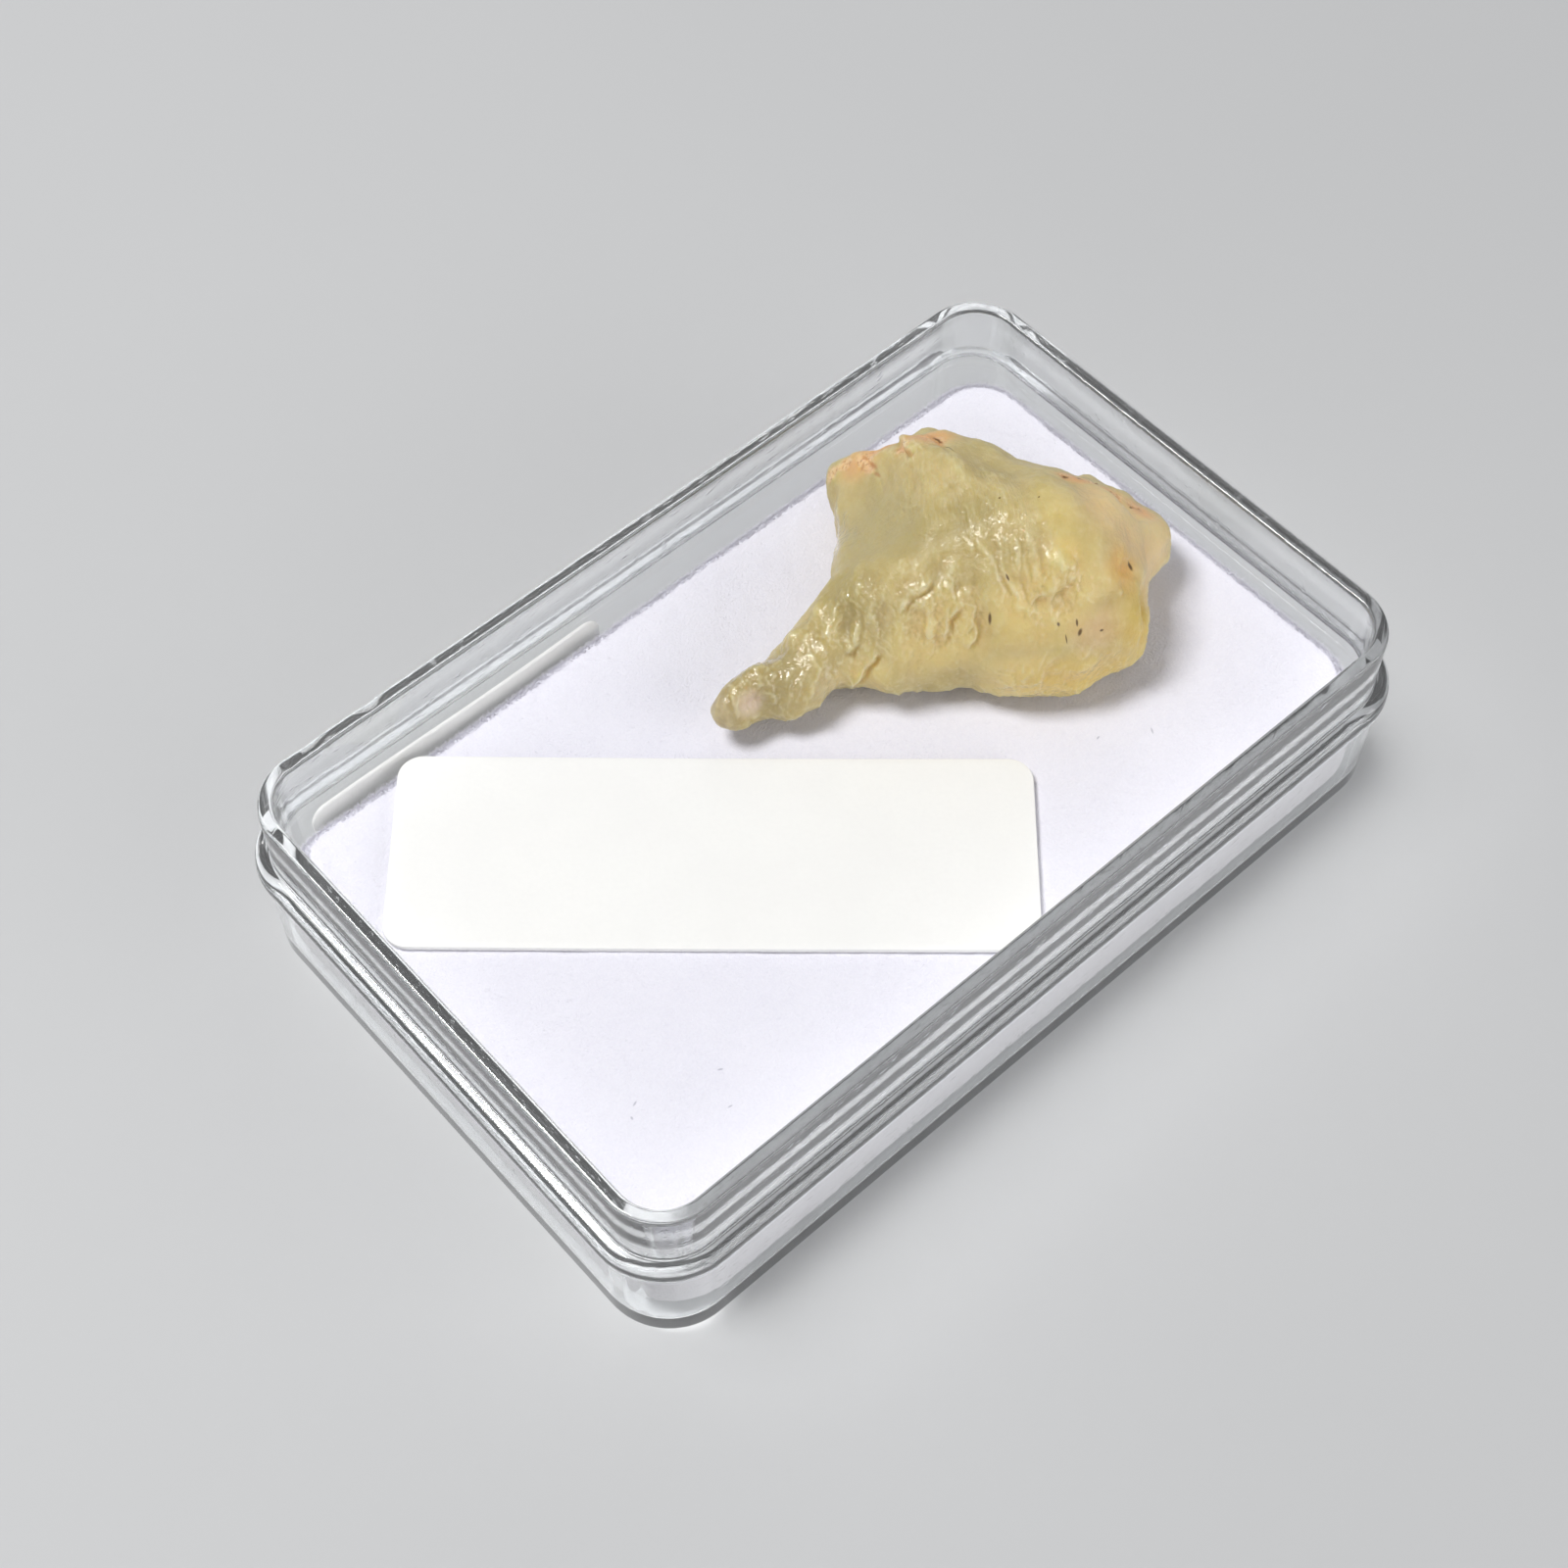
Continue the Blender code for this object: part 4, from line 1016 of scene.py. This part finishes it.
def in_spots(points, spots):
    """A mask from 0 to 1 over spots: place, reach along each axis, and turn in degrees."""
    mask = np.zeros(len(points))
    for place, reach, turn in spots:
        turn = math.radians(turn)
        x, y, z = (points - place).T
        along = (x * math.cos(turn) + y * math.sin(turn)) / reach[0]
        across = (y * math.cos(turn) - x * math.sin(turn)) / reach[1]
        away = np.sqrt(along ** 2 + across ** 2 + (z / reach[2]) ** 2)
        mask = np.maximum(mask, smooth_step(1.2, 0.4, away))
    return mask


def crust_mask(points):
    """Where crust clings, ragged at its edges and broken up within."""
    mask = near_place(points, CRUST_PATCHES, soft=0.6)
    ragged = noise_at(points, 0.7, 4.0) * 0.5 + noise_at(points, 0.28, 9.0) * 0.45
    return smooth_step(0.3, 0.8, mask + ragged * 0.8) * (mask > 0.02)


def desert_glass():
    """Cloudy light yellow glass, etched matt by sand, with crust and dark specks, and with painted light and shade in
    its colour: highlights on crests, shade in creases and over patches, and light over its lumps, rough middle and
    lower band.
    """
    nodes = Nodes("cloudy_desert_glass")
    clouds = nodes.noise(2.2, detail=3.0)
    veins = nodes.noise(0.8, detail=4.0, place=nodes.stretched((1.0, 0.35, 0.7), STONE_TURN))
    colour = nodes.blend(nodes.ramp(clouds, 0.3, 0.72), (0.63, 0.51, 0.22), (0.72, 0.585, 0.28))
    mottle = nodes.noise(0.55, detail=3.0)
    colour = nodes.blend(nodes.ramp(mottle, 0.42, 0.7, 0.0, 0.35), colour, (0.80, 0.71, 0.42))
    colour = nodes.blend(nodes.ramp(veins, 0.5, 0.75, 0.0, 0.3), colour, (0.80, 0.70, 0.40))
    for zone, share, tint in ZONE_TINTS:
        colour = nodes.blend(nodes.math("MULTIPLY", nodes.attribute(zone), share), colour, tint)
    # Painted highlight: crests lighter. Painted shade: creases darker.
    colour = nodes.blend(nodes.math("MULTIPLY", nodes.attribute("crest_highlight"), 0.2), colour, (1.0, 0.92, 0.62))
    colour = nodes.blend(nodes.math("MULTIPLY", nodes.attribute("crease_shade"), 0.28), colour, (0.50, 0.42, 0.17))
    crust = nodes.attribute("crust")
    grains = nodes.noise(0.2, detail=4.0, roughness=0.7)
    crust_colour = nodes.blend(nodes.ramp(grains, 0.36, 0.5), (0.50, 0.25, 0.11), (0.80, 0.53, 0.30))
    colour = nodes.blend(nodes.math("MULTIPLY", crust, nodes.ramp(grains, 0.3, 0.7, 0.95, 0.6)), colour, crust_colour)
    colour = nodes.blend(nodes.math("MULTIPLY", nodes.attribute("stain"), 0.8), colour, (0.55, 0.28, 0.11))
    speck = None
    for place, reach, turn in SPECKS:
        spot = nodes.spot(from_stone_frame(place), reach, math.radians(turn) + STONE_TURN)
        speck = spot if speck is None else nodes.math("MAXIMUM", speck, spot)
    colour = nodes.blend(nodes.math("MULTIPLY", speck, 0.92), colour, (0.13, 0.06, 0.015))
    etched = nodes.noise(0.2, detail=3.0, roughness=0.55)
    striae = nodes.noise(0.22, detail=2.0, place=nodes.stretched((0.16, 1.0, 0.5), STONE_TURN + STRIAE_TURN))
    chipped = nodes.noise(0.5, detail=1.0, distortion=0.8)
    streaks = nodes.noise(0.3, detail=3.0, place=nodes.stretched((0.14, 1.0, 0.5), STONE_TURN + FAN_TURN))
    height = nodes.math("ADD", etched, nodes.math("MULTIPLY", nodes.attribute("grey"), striae))
    height = nodes.math("ADD", height, nodes.math("MULTIPLY", nodes.attribute("fan"), nodes.math("MULTIPLY", streaks, 3.0)))
    height = nodes.math("ADD", height, nodes.math("MULTIPLY", nodes.attribute("gloss"), chipped))
    normal = nodes.bump(height, 0.06)
    glints = nodes.bump(nodes.math("ADD", nodes.math("MULTIPLY", etched, 0.25), chipped), 0.13)
    matt = nodes.math("SUBTRACT", 1.0, nodes.attribute("gloss"))
    rough = nodes.math("ADD", nodes.ramp(etched, 0.3, 0.7, 0.30, 0.38), nodes.math("MULTIPLY", matt, 0.12))
    rough = nodes.math("ADD", rough, nodes.math("MULTIPLY", crust, 0.3))
    clear = nodes.math("MULTIPLY", nodes.math("SUBTRACT", 1.0, nodes.math("MAXIMUM", crust, speck)), 0.14)
    nodes.set(Base_Color=colour, Roughness=rough, Normal=normal, Transmission_Weight=clear)
    nodes.set(IOR=1.46, Subsurface_Weight=0.8, Subsurface_Radius=(1.0, 0.82, 0.45), Subsurface_Scale=2.6 * MM)
    nodes.set(Coat_Weight=nodes.ramp(nodes.attribute("gloss"), 0.0, 1.0, 0.15, 1.0), Coat_Normal=glints)
    nodes.set(Coat_Roughness=0.05, Coat_IOR=1.46)
    depth = nodes.add("ShaderNodeVolumeAbsorption")
    depth.inputs["Color"].default_value = (0.90, 0.80, 0.40, 1.0)
    depth.inputs["Density"].default_value = 60.0
    nodes.link(depth.outputs["Volume"], nodes.output.inputs["Volume"])
    return nodes.material


def make_stone():
    stone = new_object("stone_glass", stone_mesh(), desert_glass())
    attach(stone, "root")
    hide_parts("desert_glass")


# Stage: floor, lights and camera


def make_floor():
    size = 3000.0
    bpy.ops.mesh.primitive_plane_add(size=size * MM, location=(0.0, 0.0, -0.03 * MM))
    floor = bpy.context.object
    floor.name = "floor"
    nodes = Nodes("pale_floor")
    clouds = nodes.noise(60.0, detail=2.0)
    nodes.set(Base_Color=nodes.blend(clouds, (0.56, 0.565, 0.57), (0.60, 0.605, 0.61)))
    nodes.set(Roughness=0.6, Specular_IOR_Level=0.3)
    floor.data.materials.append(nodes.material)


def area_light(name, place, aim, size, power, colour=(1.0, 1.0, 1.0)):
    light = bpy.data.lights.new(name, "AREA")
    light.shape = "RECTANGLE"
    light.size, light.size_y = size[0] * MM, size[1] * MM
    light.energy = power
    light.color = colour
    item = bpy.data.objects.new(name, light)
    bpy.context.scene.collection.objects.link(item)
    item.location = Vector(place) * MM
    item.rotation_mode = "QUATERNION"
    item.rotation_quaternion = (Vector(aim) - Vector(place)).to_track_quat("-Z", "Y")


def make_lights():
    area_light("key", (-110.0, 120.0, 340.0), (0.0, 0.0, 5.0), (120.0, 120.0), 1.06)
    area_light("fill", (120.0, -300.0, 120.0), (0.0, 0.0, 5.0), (300.0, 200.0), 0.48)
    area_light("side", (250.0, 150.0, 180.0), (0.0, 0.0, 5.0), (200.0, 200.0), 0.08)
    area_light("bounce", (-150.0, -200.0, 60.0), (0.0, 0.0, 5.0), (320.0, 200.0), 0.07)
    world = bpy.data.worlds.new("studio")
    world.use_nodes = True
    background = world.node_tree.nodes["Background"]
    background.inputs["Color"].default_value = (0.97, 0.975, 1.0, 1.0)
    background.inputs["Strength"].default_value = 0.19
    bpy.context.scene.world = world


def make_camera():
    data = bpy.data.cameras.new("camera")
    data.lens = CAMERA_LENS
    data.sensor_width = CAMERA_SENSOR
    data.clip_start = 1.0 * MM
    data.clip_end = 10.0
    camera = bpy.data.objects.new("camera", data)
    bpy.context.scene.collection.objects.link(camera)
    camera.location = Vector(CAMERA_PLACE) * MM
    camera.rotation_mode = "QUATERNION"
    camera.rotation_quaternion = (Vector(CAMERA_AIM) - Vector(CAMERA_PLACE)).to_track_quat("-Z", "Y")
    bpy.context.scene.camera = camera


def let_light_through():
    """Lets light pass the many clear walls before a path ends."""
    cycles = bpy.context.scene.cycles
    cycles.max_bounces = 32
    cycles.transmission_bounces = 32
    cycles.transparent_max_bounces = 32


bpy.context.scene.view_settings.view_transform = "Standard"
let_light_through()
make_camera()
make_tray()
make_pad()
make_card()
make_slip()
make_stone()
make_floor()
make_lights()
